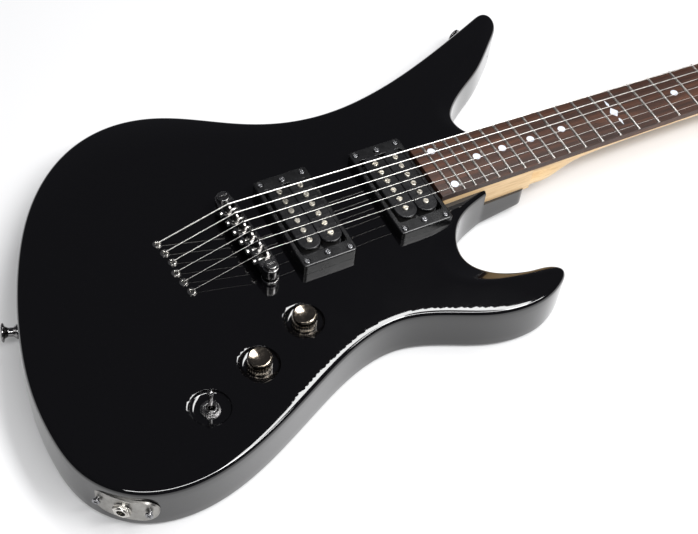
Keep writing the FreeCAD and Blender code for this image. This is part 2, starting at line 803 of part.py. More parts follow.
def nut():
    top = board_thickness + 2.2
    half = neck_half_width_at_nut
    block = box(nut_x, nut_x + nut_length, -half, half, 0, top + 1)
    axis_z = top - board_radius
    block = block.common(rod(board_radius, vec(nut_x - 5, 0, axis_z), vec(nut_x + 9, 0, axis_z)))
    block = soften(block, 0.6, lambda edge: edge.BoundBox.ZMin > board_thickness and
                   edge.BoundBox.YLength > 5)
    block = on_neck(block)
    for k in range(6):
        for slot in nut_slots(k):
            block = block.cut(slot)
    return block


def truss_rod():
    """The adjusting rod and its nut, in the channel under the fretboard."""
    z = -truss_channel_depth + 3.2
    bar = rod(2.5, vec(truss_start_x + 2, 0, z), vec(nut_x + 16, 0, z))
    anchor = box(truss_start_x, truss_start_x + 12, -truss_channel_half, truss_channel_half, z - 3.2, z + 4)
    barrel = hexagon(5.6, 0, 0, 0, 12)
    barrel.rotate(vec(0, 0, 0), Y_AXIS, 90)
    barrel.translate(vec(nut_x + 9, 0, z))
    return on_neck(bar.fuse([anchor, barrel]))


cover_plate_thickness = 1.6
truss_cover_screw_places = [(nut_x + 20, 9), (nut_x + 20, -9), (nut_x + 38, 0)]


def truss_rod_cover():
    face = -headstock_face_drop
    corners = [(nut_x + 17, -13), (nut_x + 28, -12), (nut_x + 42, -3), (nut_x + 42, 3),
               (nut_x + 28, 12), (nut_x + 17, 13)]
    plate = rounded_prism(corners, [2, 6, 2.5, 2.5, 6, 2], face, face + cover_plate_thickness)
    plate = soften(plate, 0.4, level_edge(face + cover_plate_thickness))
    for x, y in truss_cover_screw_places:
        plate = plate.cut(drum(1.1, x, y, face - 1, face + 5))
    return on_neck(plate)


neck_screw_top = body_top - 4.5


def heel_back_z(x, y):
    """Height of the tapered back of the heel above the plane of the body's back."""
    rise = heel_taper_rise * (x - heel_taper_start_x) - heel_taper_tilt * (y + neck_half_width_at_end)
    return max(0.0, rise)


def cup_place(x, y):
    """Lower face of one neck screw's cup washer."""
    local = heel_back_z(x, y)
    return local + 1.6 if local > 0 else 0.2


def neck_screw_cups():
    """Four dished washers sunk into the back, one for each neck screw."""
    cups = []
    for x, y in neck_screw_places:
        z = cup_place(x, y)
        cup = ring(neck_cup_radius, neck_screw_radius + 0.1, x, y, z, z + neck_cup_height)
        cup = cup.cut(drum(neck_head_radius + 0.3, x, y, z - 1, z + neck_cup_height - neck_cup_lip))
        cups.append(cup)
    return group(cups)


def neck_screws():
    screws = []
    slot = 2.6
    for x, y in neck_screw_places:
        seat = cup_place(x, y) + neck_cup_height - neck_cup_lip
        head = drum(neck_head_radius, x, y, seat - 1.8, seat)
        head = head.cut([box(x - slot, x + slot, y - 0.5, y + 0.5, seat - 2, seat - 0.8),
                         box(x - 0.5, x + 0.5, y - slot, y + slot, seat - 2, seat - 0.8)])
        shank = drum(neck_screw_radius, x, y, seat, neck_screw_top - 1.5)
        tip = Part.makeCone(neck_screw_radius, 0.4, 1.5, vec(x, y, neck_screw_top - 1.5))
        screws.append(head.fuse([shank, tip]))
    return group(screws)


# ---------------------------------------------------------------- small screws
def placed_screw(radius, head_radius, head_height, length, x, y, z, direction=Z_AXIS):
    return aim(screw(radius, head_radius, head_height, length), vec(x, y, z), direction)


ring_screw_places = [(-18.1, -41.2), (-18.1, 41.2), (18.1, -41.2), (18.1, 41.2)]


def small_screws_in_neck():
    """Screws of the truss rod cover, the string tree and the tuner housings."""
    face = -headstock_face_drop
    shapes = []
    for x, y in truss_cover_screw_places:
        shapes.append(placed_screw(1.1, 2.2, 1.2, 9, x, y, face + cover_plate_thickness))
    shapes.append(placed_screw(1.2, 2.6, 1.4, 9, tree_x, tree_y(), face + 8.2))
    back = face - headstock_thickness
    for k in range(6):
        place = tuner_frame(k).multVec(vec(housing_screw_x, 0, 0))
        shapes.append(placed_screw(1.0, 2.0, 1.0, 8, place.x, place.y, back - 1.8, vec(0, 0, -1)))
    return on_neck(group(shapes))


def small_screws_in_body():
    """Screws of the pickup rings, the control cover and the jack plate."""
    shapes = []
    for name, place_x in pickup_places.items():
        for x, y in ring_screw_places:
            z = body_top + ring_height[name] - 0.6
            shapes.append(placed_screw(1.2, 2.2, 1.0, ring_height[name] + 7, place_x + x, y, z))
    for x, y in cover_screw_places:
        shapes.append(placed_screw(1.2, 2.3, 0.9, 9, x, y, 1.0, vec(0, 0, -1)))
    place, direction = jack_frame()
    along = direction.cross(Z_AXIS)
    for side in (-1, 1):
        spot = place + along * (side * jack_screw_offset) - direction * 0.9
        shapes.append(aim(screw(1.5, 3.0, 1.3, 12), spot, direction))
    return group(shapes)


def small_screws():
    return group(small_screws_in_neck().Solids + small_screws_in_body().Solids)


# ---------------------------------------------------------------- tuners
bushing_radius = 4.0
housing_screw_x = -11.2
gear_teeth = 16
gear_module = 0.55
gear_height = 2.6
gear_pitch_radius = gear_teeth * gear_module / 2
worm_pitch_radius = 2.35
worm_lead = math.pi * gear_module
gear_axis_distance = gear_pitch_radius + worm_pitch_radius
worm_drop = 5.4
addendum = 0.30
dedendum = 0.44
shaft_radius = 1.9


def tuner_frame(k):
    """Placement of tuner k: local +Y points out of the headstock's edge along the key's shaft."""
    x, y = post_centre(k)
    return FreeCAD.Placement(vec(x, y, 0), FreeCAD.Rotation(Z_AXIS, tuner_line_angle))


def on_headstock(shape, k):
    placed = shape.copy()
    placed.Placement = tuner_frame(k).multiply(placed.Placement)
    return on_neck(placed)


def tree_y():
    return (string_tree_y(4) + string_tree_y(5)) / 2


def string_tree_y(k):
    """Sideways place of string k where it passes under the tree."""
    nut_y = string_y_at(nut_x, k)
    post_x, post_y = post_centre(k)
    tangent_y = post_y - wrap_reach(k)
    return nut_y + (tangent_y - nut_y) * (tree_x - nut_x) / (post_x - nut_x)


def string_tree():
    """A winged bar that holds the two highest strings down behind the nut."""
    face = -headstock_face_drop
    y = tree_y()
    spacing = abs(string_tree_y(4) - string_tree_y(5))
    wing = box(tree_x - 2.2, tree_x + 2.2, y - spacing / 2 - 2, y + spacing / 2 + 2, face + 6.2, face + 8.2)
    wing = soften(wing, 0.6, lambda edge: edge.BoundBox.XLength < 0.01 and edge.BoundBox.ZLength < 0.01)
    post = drum(2.0, tree_x, y, face, face + 6.2)
    solid = wing.fuse(post).cut(drum(1.2, tree_x, y, face - 1, face + 9))
    return on_neck(solid).cut([string_solid(k, 0.05) for k in (4, 5)])


def gear_wheel(z):
    """A small spur wheel about the local Z axis."""
    root = gear_pitch_radius - dedendum
    tip = gear_pitch_radius + addendum
    wheel = drum(root, 0, 0, z, z + gear_height)
    base_half = 0.34
    tip_half = 0.17
    profile = [vec(root - 0.3, -base_half, z), vec(tip, -tip_half, z), vec(tip, tip_half, z),
               vec(root - 0.3, base_half, z)]
    profile.append(profile[0])
    tooth = Part.Face(Part.makePolygon(profile)).extrude(vec(0, 0, gear_height))
    teeth = []
    for k in range(gear_teeth):
        copy = tooth.copy()
        copy.rotate(vec(0, 0, 0), Z_AXIS, 360.0 * k / gear_teeth)
        teeth.append(copy)
    return wheel.fuse(teeth)


def worm(length):
    """A single-start worm about the local Z axis, centred on z = 0."""
    root = worm_pitch_radius - dedendum
    outer = worm_pitch_radius + addendum
    core = drum(root, 0, 0, -length / 2, length / 2)
    turns_length = length - worm_lead
    helix = Part.makeHelix(worm_lead, turns_length, root)
    base_half = 0.36
    tip_half = 0.18
    profile = [vec(root - 0.2, 0, -base_half), vec(outer, 0, -tip_half), vec(outer, 0, tip_half),
               vec(root - 0.2, 0, base_half)]
    profile.append(profile[0])
    thread = Part.Wire(helix).makePipeShell([Part.makePolygon(profile)], True, True)
    thread.translate(vec(0, 0, -turns_length / 2))
    return core.fuse(thread)


worm_length = 9.0
housing_depth = 10.4
post_top = 9.0
button_place = 22.5


def headstock_back():
    return -headstock_face_drop - headstock_thickness


def tuner_housing(k):
    """A closed gear case with its mounting ear, hollow for the wheel, the worm and the key shaft."""
    top = headstock_back()
    floor = top - housing_depth
    shaft_z = top - worm_drop
    case = rounded_prism([(-7, -7.5), (10.6, -7.5), (10.6, 9.5), (-7, 9.5)], 2.5, floor, top)
    case = soften(case, 1.2, level_edge(floor))
    ear = rounded_prism([(-14.2, -3.0), (-5, -3.0), (-5, 3.0), (-14.2, 3.0)], [2.9, 0.2, 0.2, 2.9],
                        top - 1.8, top)
    collar = rod(3.6, vec(gear_axis_distance, 9, shaft_z), vec(gear_axis_distance, 12, shaft_z))
    wheel_room = drum(gear_pitch_radius + addendum + 0.35, 0, 0,
                      shaft_z - gear_height / 2 - 0.3, shaft_z + gear_height / 2 + 0.3)
    worm_room = rod(worm_pitch_radius + addendum + 0.3,
                    vec(gear_axis_distance, -worm_length / 2 - 0.4, shaft_z),
                    vec(gear_axis_distance, worm_length / 2 + 0.4, shaft_z))
    shaft_hole = rod(shaft_radius + 0.06, vec(gear_axis_distance, -6.6, shaft_z),
                     vec(gear_axis_distance, 13, shaft_z))
    post_hole = drum(post_radius + 0.06, 0, 0, shaft_z - 4, top + 1)
    screw_hole = drum(1.0, housing_screw_x, 0, top - 3, top + 1)
    solid = case.fuse([ear, collar]).cut([wheel_room, worm_room, shaft_hole, post_hole, screw_hole])
    return on_headstock(solid, k)


def tuner_bushing(k):
    """A threaded sleeve through the headstock with its hexagonal flange and washer."""
    face = -headstock_face_drop
    flange = hexagon(10.0, 0, 0, face + 0.8, face + 2.8)
    flange = flange.common(drum(5.6, 0, 0, face, face + 3))
    washer = drum(6.6, 0, 0, face, face + 0.8)
    sleeve = drum(bushing_radius, 0, 0, headstock_back() + 0.5, face)
    solid = flange.fuse([washer, sleeve]).cut(drum(post_radius + 0.06, 0, 0, -40, 10))
    return on_headstock(solid, k)


def tuner_post(k):
    """The string post with its wheel below, its waist and its turns of string above."""
    wheel_z = headstock_back() - worm_drop - gear_height / 2
    shaft = drum(post_radius, 0, 0, wheel_z - 1.6, post_top)
    shaft = soften(shaft, 0.5, level_edge(post_top))
    shaft = shaft.cut(ring(4, post_waist_radius, 0, 0, wrap_height - 1.6, wrap_height + 3.4))
    shaft = shaft.cut(rod(0.9, vec(-5, 0, wrap_height + 2.6), vec(5, 0, wrap_height + 2.6)))
    gauge = string_gauges[k] / 2
    turns = []
    for turn in range(3):
        height = wrap_height - 0.7 + turn * (2.1 * gauge)
        turns.append(Part.makeTorus(post_waist_radius + gauge, gauge, vec(0, 0, height)))
    return on_headstock(shaft.fuse([gear_wheel(wheel_z)] + turns), k)


def tuner_key(k):
    """The worm, its shaft and the flattened key button."""
    shaft_z = headstock_back() - worm_drop
    screw_thread = worm(worm_length)
    journal = drum(shaft_radius, 0, 0, -6.4, -worm_length / 2)
    shaft = drum(shaft_radius, 0, 0, worm_length / 2, button_place - 6)
    stem = Part.makeCone(3.0, 2.2, 4.5, vec(0, 0, 13.2), Z_AXIS)
    paddle = Part.makeSphere(9.0)
    stretch = FreeCAD.Matrix()
    stretch.A11 = 0.95
    stretch.A22 = 0.42
    stretch.A33 = 0.72
    paddle = paddle.transformGeometry(stretch)
    paddle.translate(vec(0, 0, button_place))
    key = screw_thread.fuse([journal, shaft, stem, paddle])
    key.rotate(vec(0, 0, 0), X_AXIS, -90)
    key.translate(vec(gear_axis_distance, 0, shaft_z))
    return on_headstock(key, k)


# ---------------------------------------------------------------- pickups
bobbin_length = 68.5
bobbin_width = 17.6
bobbin_height = 9.5
ring_length = 91.4
ring_width = 45.8
height_screw_offset = 39.5


def pickup_levels(name):
    """Heights of the bobbin's top, its underside and the baseplate's underside."""
    top = body_top + pole_top_height[name] - 0.5
    under = top - bobbin_height
    return top, under, under - 5.2


def pole_places(name):
    for side in (-1, 1):
        for k in range(6):
            yield pickup_places[name] + side * coil_offset, pole_pitch[name] * (k - 2.5)


def pickup_bobbins(name):
    """Two coil formers with flanges top and bottom, each with six pole holes."""
    top, under, plate = pickup_levels(name)
    formers = []
    for side in (-1, 1):
        x = pickup_places[name] + side * coil_offset
        upper = stadium(x, 0, bobbin_width, bobbin_length, top - 1.6, top)
        upper = soften(upper, 0.6, level_edge(top))
        core = stadium(x, 0, 6.4, bobbin_length - 11, under, top)
        lower = stadium(x, 0, bobbin_width, bobbin_length, under, under + 1.4)
        former = upper.fuse([core, lower])
        holes = [drum(pole_radius, px, py, under - 1, top + 1) for px, py in pole_places(name)]
        formers.append(former.cut(holes))
    return group(formers)


pole_radius = 1.9
pole_head_radius = 2.35


def pickup_coils():
    coils = []
    for name in pickup_places:
        top, under, plate = pickup_levels(name)
        for side in (-1, 1):
            x = pickup_places[name] + side * coil_offset
            winding = stadium(x, 0, bobbin_width - 2.4, bobbin_length - 2.4, under + 1.4, top - 1.6)
            core = stadium(x, 0, 6.4, bobbin_length - 11, under, top)
            coils.append(winding.cut(core))
    return group(coils)


def pickup_pole_screws():
    """Slotted pole screws, twelve in each pickup."""
    screws = []
    for name in pickup_places:
        top, under, plate = pickup_levels(name)
        for x, y in pole_places(name):
            head = drum(pole_head_radius, x, y, top, top + 1.0)
            head = soften(head, 0.35, level_edge(top + 1.0))
            shank = drum(pole_radius, x, y, under - 3.0, top)
            slot = box(x - 0.3, x + 0.3, y - 3, y + 3, top + 0.35, top + 2)
            slot.rotate(vec(x, y, 0), Z_AXIS, 37 * ((x * 3 + y) % 5))
            screws.append(head.fuse(shank).cut(slot))
    return group(screws)


def pickup_magnets():
    bars = []
    for name, x in pickup_places.items():
        top, under, plate = pickup_levels(name)
        bars.append(box(x - 6.2, x + 6.2, -30, 30, under - 3.2, under))
    return group(bars)


def pickup_baseplates():
    """A metal tray under each pickup with a leg at each end for its height screw."""
    plates = []
    for name, x in pickup_places.items():
        top, under, plate = pickup_levels(name)
        tray = rounded_box(x, 0, 37.5, 68.5, 2, plate, plate + 1.2)
        rims = [box(x + side * 18.2 - 0.5, x + side * 18.2 + 0.5, -33, 33, plate, under)
                for side in (-1, 1)]
        legs = [rounded_box(x, side * 37.6, 12, 9.8, 2, plate, plate + 1.2) for side in (-1, 1)]
        solid = tray.fuse(rims + legs)
        holes = [drum(1.5, x, side * height_screw_offset, plate - 1, plate + 3) for side in (-1, 1)]
        plates.append(solid.cut(holes))
    return group(plates)


def pickup_springs():
    """Coil springs on the height screws, between each ring and its pickup's leg."""
    coils = []
    for name, x in pickup_places.items():
        top, under, plate = pickup_levels(name)
        low = plate + 1.2 + 0.4
        high = body_top + ring_height[name] - 3.0 - 0.4
        pitch = (high - low) / 5
        helix = Part.makeHelix(pitch, high - low, 2.3)
        for side in (-1, 1):
            path = Part.Wire(helix)
            profile = Part.Wire([Part.makeCircle(0.35, vec(2.3, 0, 0), vec(0, 1, 0))])
            coil = path.makePipeShell([profile], True, True)
            coil.translate(vec(x, side * height_screw_offset, low))
            coils.append(coil)
    return group(coils)


def pickup_height_screws():
    screws = []
    for name, x in pickup_places.items():
        top, under, plate = pickup_levels(name)
        head_z = body_top + ring_height[name]
        for side in (-1, 1):
            length = head_z - plate + 2
            screws.append(placed_screw(1.5, 2.6, 1.3, length, x, side * height_screw_offset, head_z))
    return group(screws)


def pickup_ring(name):
    """A moulded frame round one pickup, with countersunk corners and sloping sides."""
    x = pickup_places[name]
    top = body_top + ring_height[name]
    outer = rounded_box(x, 0, ring_width, ring_length, 3.0, body_top, top)
    outer = soften(outer, 1.0, level_edge(top))
    window = rounded_box(x, 0, 38.6, 69.8, 2.5, body_top - 1, top + 1)
    hollow = rounded_box(x, 0, ring_width - 12.5, ring_length - 5, 1.5, body_top - 1, top - 3.0)
    frame = outer.cut([window, hollow])
    for sx, sy in ring_screw_places:
        frame = frame.cut([drum(1.2, x + sx, sy, body_top - 1, top + 1),
                           drum(2.7, x + sx, sy, top - 0.6, top + 1)])
    for side in (-1, 1):
        frame = frame.cut(drum(1.5, x, side * height_screw_offset, body_top - 1, top + 1))
    return frame


def pickup_cavities():
    """Room in the body for both pickups and the channels between them and the controls."""
    rooms = []
    for name, x in pickup_places.items():
        floor = body_top - 15.5
        rooms.append(rounded_box(x, 0, 40, 71, 4, floor, body_top + 1))
        rooms.append(rounded_box(x, 0, 15, 86, 4, floor, body_top + 1))
    rooms.append(rod(3.5, vec(55, -12, 33), vec(110, -12, 33)))
    rooms.append(rod(3.5, vec(38, -30, 33), vec(2, -75, 26)))
    rooms.append(rod(1.2, vec(30, 0, 33), vec(-75, 18, 12)))
    return rooms


# ---------------------------------------------------------------- controls
pot_bush_radius = 4.5
pot_shaft_radius = 3.0


def pots():
    """Two rotary controls: can, cover plate, lugs and threaded bush."""
    units = []
    for name in ("volume", "tone"):
        x, y = control_places[name]
        can = drum(12.0, x, y, cavity_roof - 9.5, cavity_roof - 1.0)
        can = soften(can, 1.2, level_edge(cavity_roof - 9.5))
        lug_board = box(x - 8, x + 8, y - 17, y - 6, cavity_roof - 4.5, cavity_roof - 3.0)
        lugs = [box(x - 6.2 + 5 * k, x - 3.8 + 5 * k, y - 20, y - 16, cavity_roof - 3.9, cavity_roof - 3.5)
                for k in range(3)]
        collar = drum(6.0, x, y, cavity_roof - 1.0, cavity_roof)
        bush = drum(pot_bush_radius, x, y, cavity_roof, body_top - recess_depth + 3.0)
        solid = can.fuse([lug_board, collar, bush] + lugs)
        bore = drum(pot_shaft_radius + 0.06, x, y, cavity_roof - 7.0, body_top + 5)
        units.append(solid.cut(bore))
    return group(units)


def control_nuts():
    """Hexagonal nuts and washers that clamp the two pots and the switch."""
    floor = body_top - recess_depth
    nuts = []
    for name in ("volume", "tone"):
        x, y = control_places[name]
        nuts.append(ring(7.0, pot_bush_radius, x, y, floor, floor + 0.6))
        nut = hexagon(12.5, x, y, floor + 0.6, floor + 2.4)
        nuts.append(nut.cut(drum(pot_bush_radius, x, y, 0, 80)))
    x, y = control_places["switch"]
    nuts.append(ring(7.4, switch_bush_radius, x, y, floor, floor + 0.7))
    knurled = ring(6.4, switch_bush_radius, x, y, floor + 0.7, floor + 3.0)
    notches = [drum(0.4, x + 6.5 * math.cos(math.radians(15 * k)),
                    y + 6.5 * math.sin(math.radians(15 * k)), 0, 80) for k in range(24)]
    nuts.append(knurled.cut(notches))
    return group(nuts)


knob_grooves = 30
knob_groove_radius = 0.5
knob_wall = 1.6
knob_dish = 0.7


def knob(name):
    """A grooved knob with a shallow dish on top, with the control's shaft inside it."""
    x, y = control_places[name]
    low = body_top - recess_depth + 0.7
    high = body_top + knob_top_above_body
    profile = [(0, low), (knob_radius, low), (knob_radius - 0.3, high - 1.5),
               (knob_radius - 0.6, high - 0.7), (knob_radius - 1.1, high - 0.2), (knob_radius - 1.7, high),
               (0, high)]
    cap = turned(profile, 0, 0)
    dish_edge = knob_radius - 1.9
    dish_radius = (dish_edge ** 2 + knob_dish ** 2) / (2 * knob_dish)
    dish = Part.makeSphere(dish_radius)
    dish.rotate(vec(0, 0, 0), X_AXIS, 90)
    dish.translate(vec(0, 0, high + dish_radius - knob_dish))
    cap = cap.cut([dish, drum(knob_radius - knob_wall, 0, 0, low - 1, low + 3.2),
                   drum(pot_shaft_radius, 0, 0, low - 1, high - 4)])
    reach = knob_radius + knob_groove_radius * 0.4
    grooves = []
    for k in range(knob_grooves):
        turn = 2 * math.pi * k / knob_grooves
        grooves.append(drum(knob_groove_radius, reach * math.cos(turn), reach * math.sin(turn),
                            low + 1, high - 2.4))
    cap = cap.cut(grooves)
    shaft = drum(pot_shaft_radius, 0, 0, cavity_roof - 6.0, high - 4)
    both = group([cap, shaft])
    both.translate(vec(x, y, 0))
    return both


switch_bush_radius = 4.6
lever_pin_radius = 0.7
lever_pin_half_length = 3.4
running_clearance = 0.05
lever_pivot_z = body_top - recess_depth - 1.0
lever_length = 21.0


def switch_body():
    """A toggle switch frame with its contact leaves and a flared bush."""
    x, y = control_places["switch"]
    floor = body_top - recess_depth
    frame = rounded_box(x, y, 32, 14, 1.5, cavity_roof - 2.0, cavity_roof)
    sides = [box(x - 15, x + 15, y + side * 5.2 - 0.6, y + side * 5.2 + 0.6,
                 cavity_roof - 19, cavity_roof - 2) for side in (-1, 1)]
    web = box(x - 15, x - 12, y - 5.2, y + 5.2, cavity_roof - 19, cavity_roof - 14)
    bush = drum(switch_bush_radius, x, y, cavity_roof, floor + 3.6)
    solid = frame.fuse(sides + [web, bush])
    flare = Part.makeCone(2.0, 3.4, 6.2, vec(x, y, lever_pivot_z - 1.4))
    ball_seat = Part.makeSphere(2.75, vec(x, y, lever_pivot_z))
    tail_slot = Part.makeCone(3.8, 3.0, cavity_roof + 1 - 22, vec(x, y, 22))
    tail_room = drum(2.4, x, y, cavity_roof - 3, lever_pivot_z)
    pin_reach = lever_pin_half_length + 0.2
    pin_bore = rod(lever_pin_radius + running_clearance, vec(x, y - pin_reach, lever_pivot_z),
                   vec(x, y + pin_reach, lever_pivot_z))
    return solid.cut([flare, ball_seat, tail_slot, tail_room, pin_bore])


def switch_lever():
    """The toggle's lever on its ball and pin, with a thin stem, a tapered bat and a contact tail."""
    x, y = control_places["switch"]
    z = lever_pivot_z
    ball = Part.makeSphere(2.7, vec(x, y, z))
    stem = Part.makeCone(1.25, 1.55, lever_length - 4, vec(x, y, z))
    bat = Part.makeCone(1.55, 2.6, 5.0, vec(x, y, z + lever_length - 4))
    tip = Part.makeSphere(2.6, vec(x, y, z + lever_length + 1.0))
    tail = Part.makeCone(1.0, 1.3, 8.0, vec(x, y, z - 8))
    pin = rod(lever_pin_radius, vec(x, y - lever_pin_half_length, z),
              vec(x, y + lever_pin_half_length, z))
    return ball.fuse([stem, bat, tip, tail, pin])


def control_cover():
    plate = rounded_prism(cover_points, 9, 0.0, cover_thickness)
    for x, y in cover_screw_places:
        plate = plate.cut([drum(1.2, x, y, -1, 4), drum(2.5, x, y, -1, 1.0)])
    return plate


# ---------------------------------------------------------------- jack and strap buttons
jack_screw_offset = 18.8
jack_plate_radius = 60.0
jack_plate_thickness = 1.8
jack_plate_width = 23.5
jack_plate_length = 49.0
jack_barrel_radius = 4.7
socket_depth = 16.0


def jack_outline():
    """A bar with the jack plate's outline, its length along the body's side."""
    place, direction = jack_frame()
    bar = stadium(0, 0, jack_plate_width, jack_plate_length, -14, 14)
    turn = FreeCAD.Rotation(Z_AXIS, direction.cross(Z_AXIS), direction, "ZYX")
    bar.Placement = FreeCAD.Placement(place, turn)
    return bar


def jack_plate():
    """A curved boat-shaped plate on the body's side."""
    place, direction = jack_frame()
    centre = place - direction * jack_plate_radius
    shell = drum(jack_plate_radius, centre.x, centre.y, 0, 60)
    shell = shell.cut(drum(jack_plate_radius - jack_plate_thickness, centre.x, centre.y, -1, 61))
    plate = shell.common(jack_outline())
    along = direction.cross(Z_AXIS)
    holes = [rod(jack_barrel_radius, place - direction * 9, place + direction * 9)]
    for side in (-1, 1):
        spot = place + along * (side * jack_screw_offset)
        holes.append(rod(1.5, spot - direction * 12, spot + direction * 9))
        holes.append(rod(3.1, spot - direction * 0.9 - direction * 1e-3, spot + direction * 9))
    return plate.cut(holes)


def output_jack():
    """A quarter-inch socket: threaded barrel, nut and washer outside, contact springs inside."""
    place, direction = jack_frame()
    mouth = 3.6
    barrel = Part.makeCylinder(jack_barrel_radius, socket_depth, vec(0, 0, mouth - socket_depth))
    washer = ring(6.6, jack_barrel_radius, 0, 0, 0, 0.7)
    nut = hexagon(11.5, 0, 0, 0.7, 2.9)
    base = drum(8.0, 0, 0, -socket_depth + mouth, -socket_depth + mouth + 2)
    contact = box(-8, -6.5, -2.2, 2.2, -socket_depth + mouth - 13, -socket_depth + mouth)
    tip_contact = box(-6.5, -4.0, -2.2, 2.2, -socket_depth + mouth - 13, -socket_depth + mouth - 11.5)
    unit = barrel.fuse([washer, nut, base, contact, tip_contact])
    unit = unit.cut(drum(jack_bore_radius, 0, 0, -40, mouth + 1))
    return aim(unit, place, direction)


strap_button_places = [(-184.6, 7.0, 21.5, 161.8), (281.0, 151.6, 17.0, 112.0)]
button_height = 12.5


def strap_buttons():
    """Waisted buttons with felt-sized flanges, each held by one screw."""
    buttons = []
    for x, y, z, angle in strap_button_places:
        direction = vec(math.cos(math.radians(angle)), math.sin(math.radians(angle)), 0)
        profile = [(0, 0), (5.6, 0), (5.6, 0.8), (3.6, 3.4), (3.4, 7.0), (4.6, 9.4), (7.2, 10.4),
                   (7.2, 11.4), (6.2, 12.2), (3.4, button_height), (3.2, button_height - 0.9),
                   (0, button_height - 0.5)]
        button = turned(profile, 0, 0)
        shank = Part.makeCylinder(1.9, 26, vec(0, 0, -26))
        slot = box(-2.2, 2.2, -0.45, 0.45, button_height - 1.9, button_height + 1)
        cross = box(-0.45, 0.45, -2.2, 2.2, button_height - 1.9, button_height + 1)
        buttons.append(aim(button.fuse(shank).cut([slot, cross]), vec(x, y, z), direction))
    return group(buttons)


# ---------------------------------------------------------------- body with every hollow
def body():
    block = body_blank()
    pocket = on_neck(neck_prism(board_end_x - 0.5, heel_end_x + 20, 0.05,
                                -neck_above_body - pocket_depth, 60))
    floor = -neck_above_body - pocket_depth
    ledges = [on_neck(box(body_outline[0][0] + 1.5, heel_end_x + 20, -40, -20, floor, 60)),
              on_neck(box(body_outline[-1][0] + 1.5, heel_end_x + 20, 20, 40, floor, 60))]
    cuts = [pocket] + ledges + pickup_cavities()
    cuts.append(rounded_prism(control_cavity_points, 8, -1, cavity_roof))
    cuts.append(rounded_prism(cover_points, 9, -1, cover_thickness))
    floor = body_top - recess_depth
    for name, (x, y) in control_places.items():
        cuts.append(dished_recess(x, y))
        bush = switch_bush_radius if name == "switch" else pot_bush_radius
        cuts.append(drum(bush, x, y, cavity_roof - 1, floor + 1))
    for x, y in post_places():
        cuts.append(drum(5.5, x, y, body_top - 17.5, body_top + 1))
    for k in range(6):
        x, y = ferrule_place(k)
        cuts.append(drum(1.1, x, y, -1, body_top + 1))
        cuts.append(drum(2.6, x, y, body_top - 6, body_top + 1))
        cuts.append(drum(back_ferrule_radius, x, y, -1, 9.0))
    for x, y in neck_screw_places:
        cuts.append(drum(neck_screw_radius, x, y, 0, 40))
        cuts.append(drum(neck_cup_radius, x, y, -1, cup_place(x, y) + neck_cup_height))
    place, direction = jack_frame()
    cuts.append(rod(9.0, place - direction * 36, place - direction * jack_plate_thickness))
    cuts.append(jack_room())
    block = block.cut(cuts)
    screws = small_screws_in_body().Solids + strap_buttons().Solids
    return block.cut(screws)


def jack_room():
    """The shallow seat of the jack plate, open to the outside."""
    place, direction = jack_frame()
    centre = place - direction * jack_plate_radius
    inner = drum(jack_plate_radius - jack_plate_thickness, centre.x, centre.y, -1, 61)
    return jack_outline().cut(inner)


# ---------------------------------------------------------------- export
pieces = {
    "body": body(), "neck": neck(), "fretboard": fretboard(), "frets": frets(),
    "position_dots": position_dots(), "twelfth_fret_inlay": twelfth_fret_inlay(), "nut": nut(),
    "truss_rod": truss_rod(), "truss_rod_cover": truss_rod_cover(), "neck_screw_cups": neck_screw_cups(),
    "neck_screws": neck_screws(), "neck_pickup_ring": pickup_ring("neck"),
    "bridge_pickup_ring": pickup_ring("bridge"), "neck_pickup_bobbins": pickup_bobbins("neck"),
    "bridge_pickup_bobbins": pickup_bobbins("bridge"), "pickup_coils": pickup_coils(),
    "pickup_pole_screws": pickup_pole_screws(), "pickup_magnets": pickup_magnets(),
    "pickup_baseplates": pickup_baseplates(), "pickup_springs": pickup_springs(),
    "pickup_height_screws": pickup_height_screws(), "bridge_base": bridge_base(),
    "bridge_posts": bridge_posts(), "bridge_thumbwheels": bridge_thumbwheels(),
    "bridge_bushings": bridge_bushings(), "saddle_screws": saddle_screws(),
    "string_ferrules": string_ferrules(),
    "strings": group([string_solid(k) for k in range(6)] + [ball_end(k) for k in range(6)]),
    "control_cover": control_cover(), "pots": pots(), "control_nuts": control_nuts(),
    "volume_knob": knob("volume"), "tone_knob": knob("tone"), "switch_body": switch_body(),
    "switch_lever": switch_lever(), "output_jack": output_jack(), "jack_plate": jack_plate(),
    "strap_buttons": strap_buttons(), "small_screws": small_screws(), "string_tree": string_tree(),
    "tuner_housings": group([tuner_housing(k) for k in range(6)]),
    "tuner_bushings": group([tuner_bushing(k) for k in range(6)]),
}
for k in range(6):
    pieces["saddle_%d" % (6 - k)] = saddle(k)
    pieces["tuner_post_%d" % (6 - k)] = tuner_post(k)
    pieces["tuner_key_%d" % (6 - k)] = tuner_key(k)

os.makedirs("parts", exist_ok=True)
for name, shape in pieces.items():
    shape.exportStep("parts/%s.step" % name)
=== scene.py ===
"""Looks of the electric guitar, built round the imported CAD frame.

Metres, in the CAD's own frame: the guitar lies on its back on the floor, +X runs to the headstock,
+Y to the bass side and +Z up.  Lengths below are written in millimetres and scaled by MM.
"""

import json
import math

import bmesh
import bpy
import numpy as np
from mathutils import Matrix, Vector
from mathutils.geometry import delaunay_2d_cdt
from mathutils.kdtree import KDTree


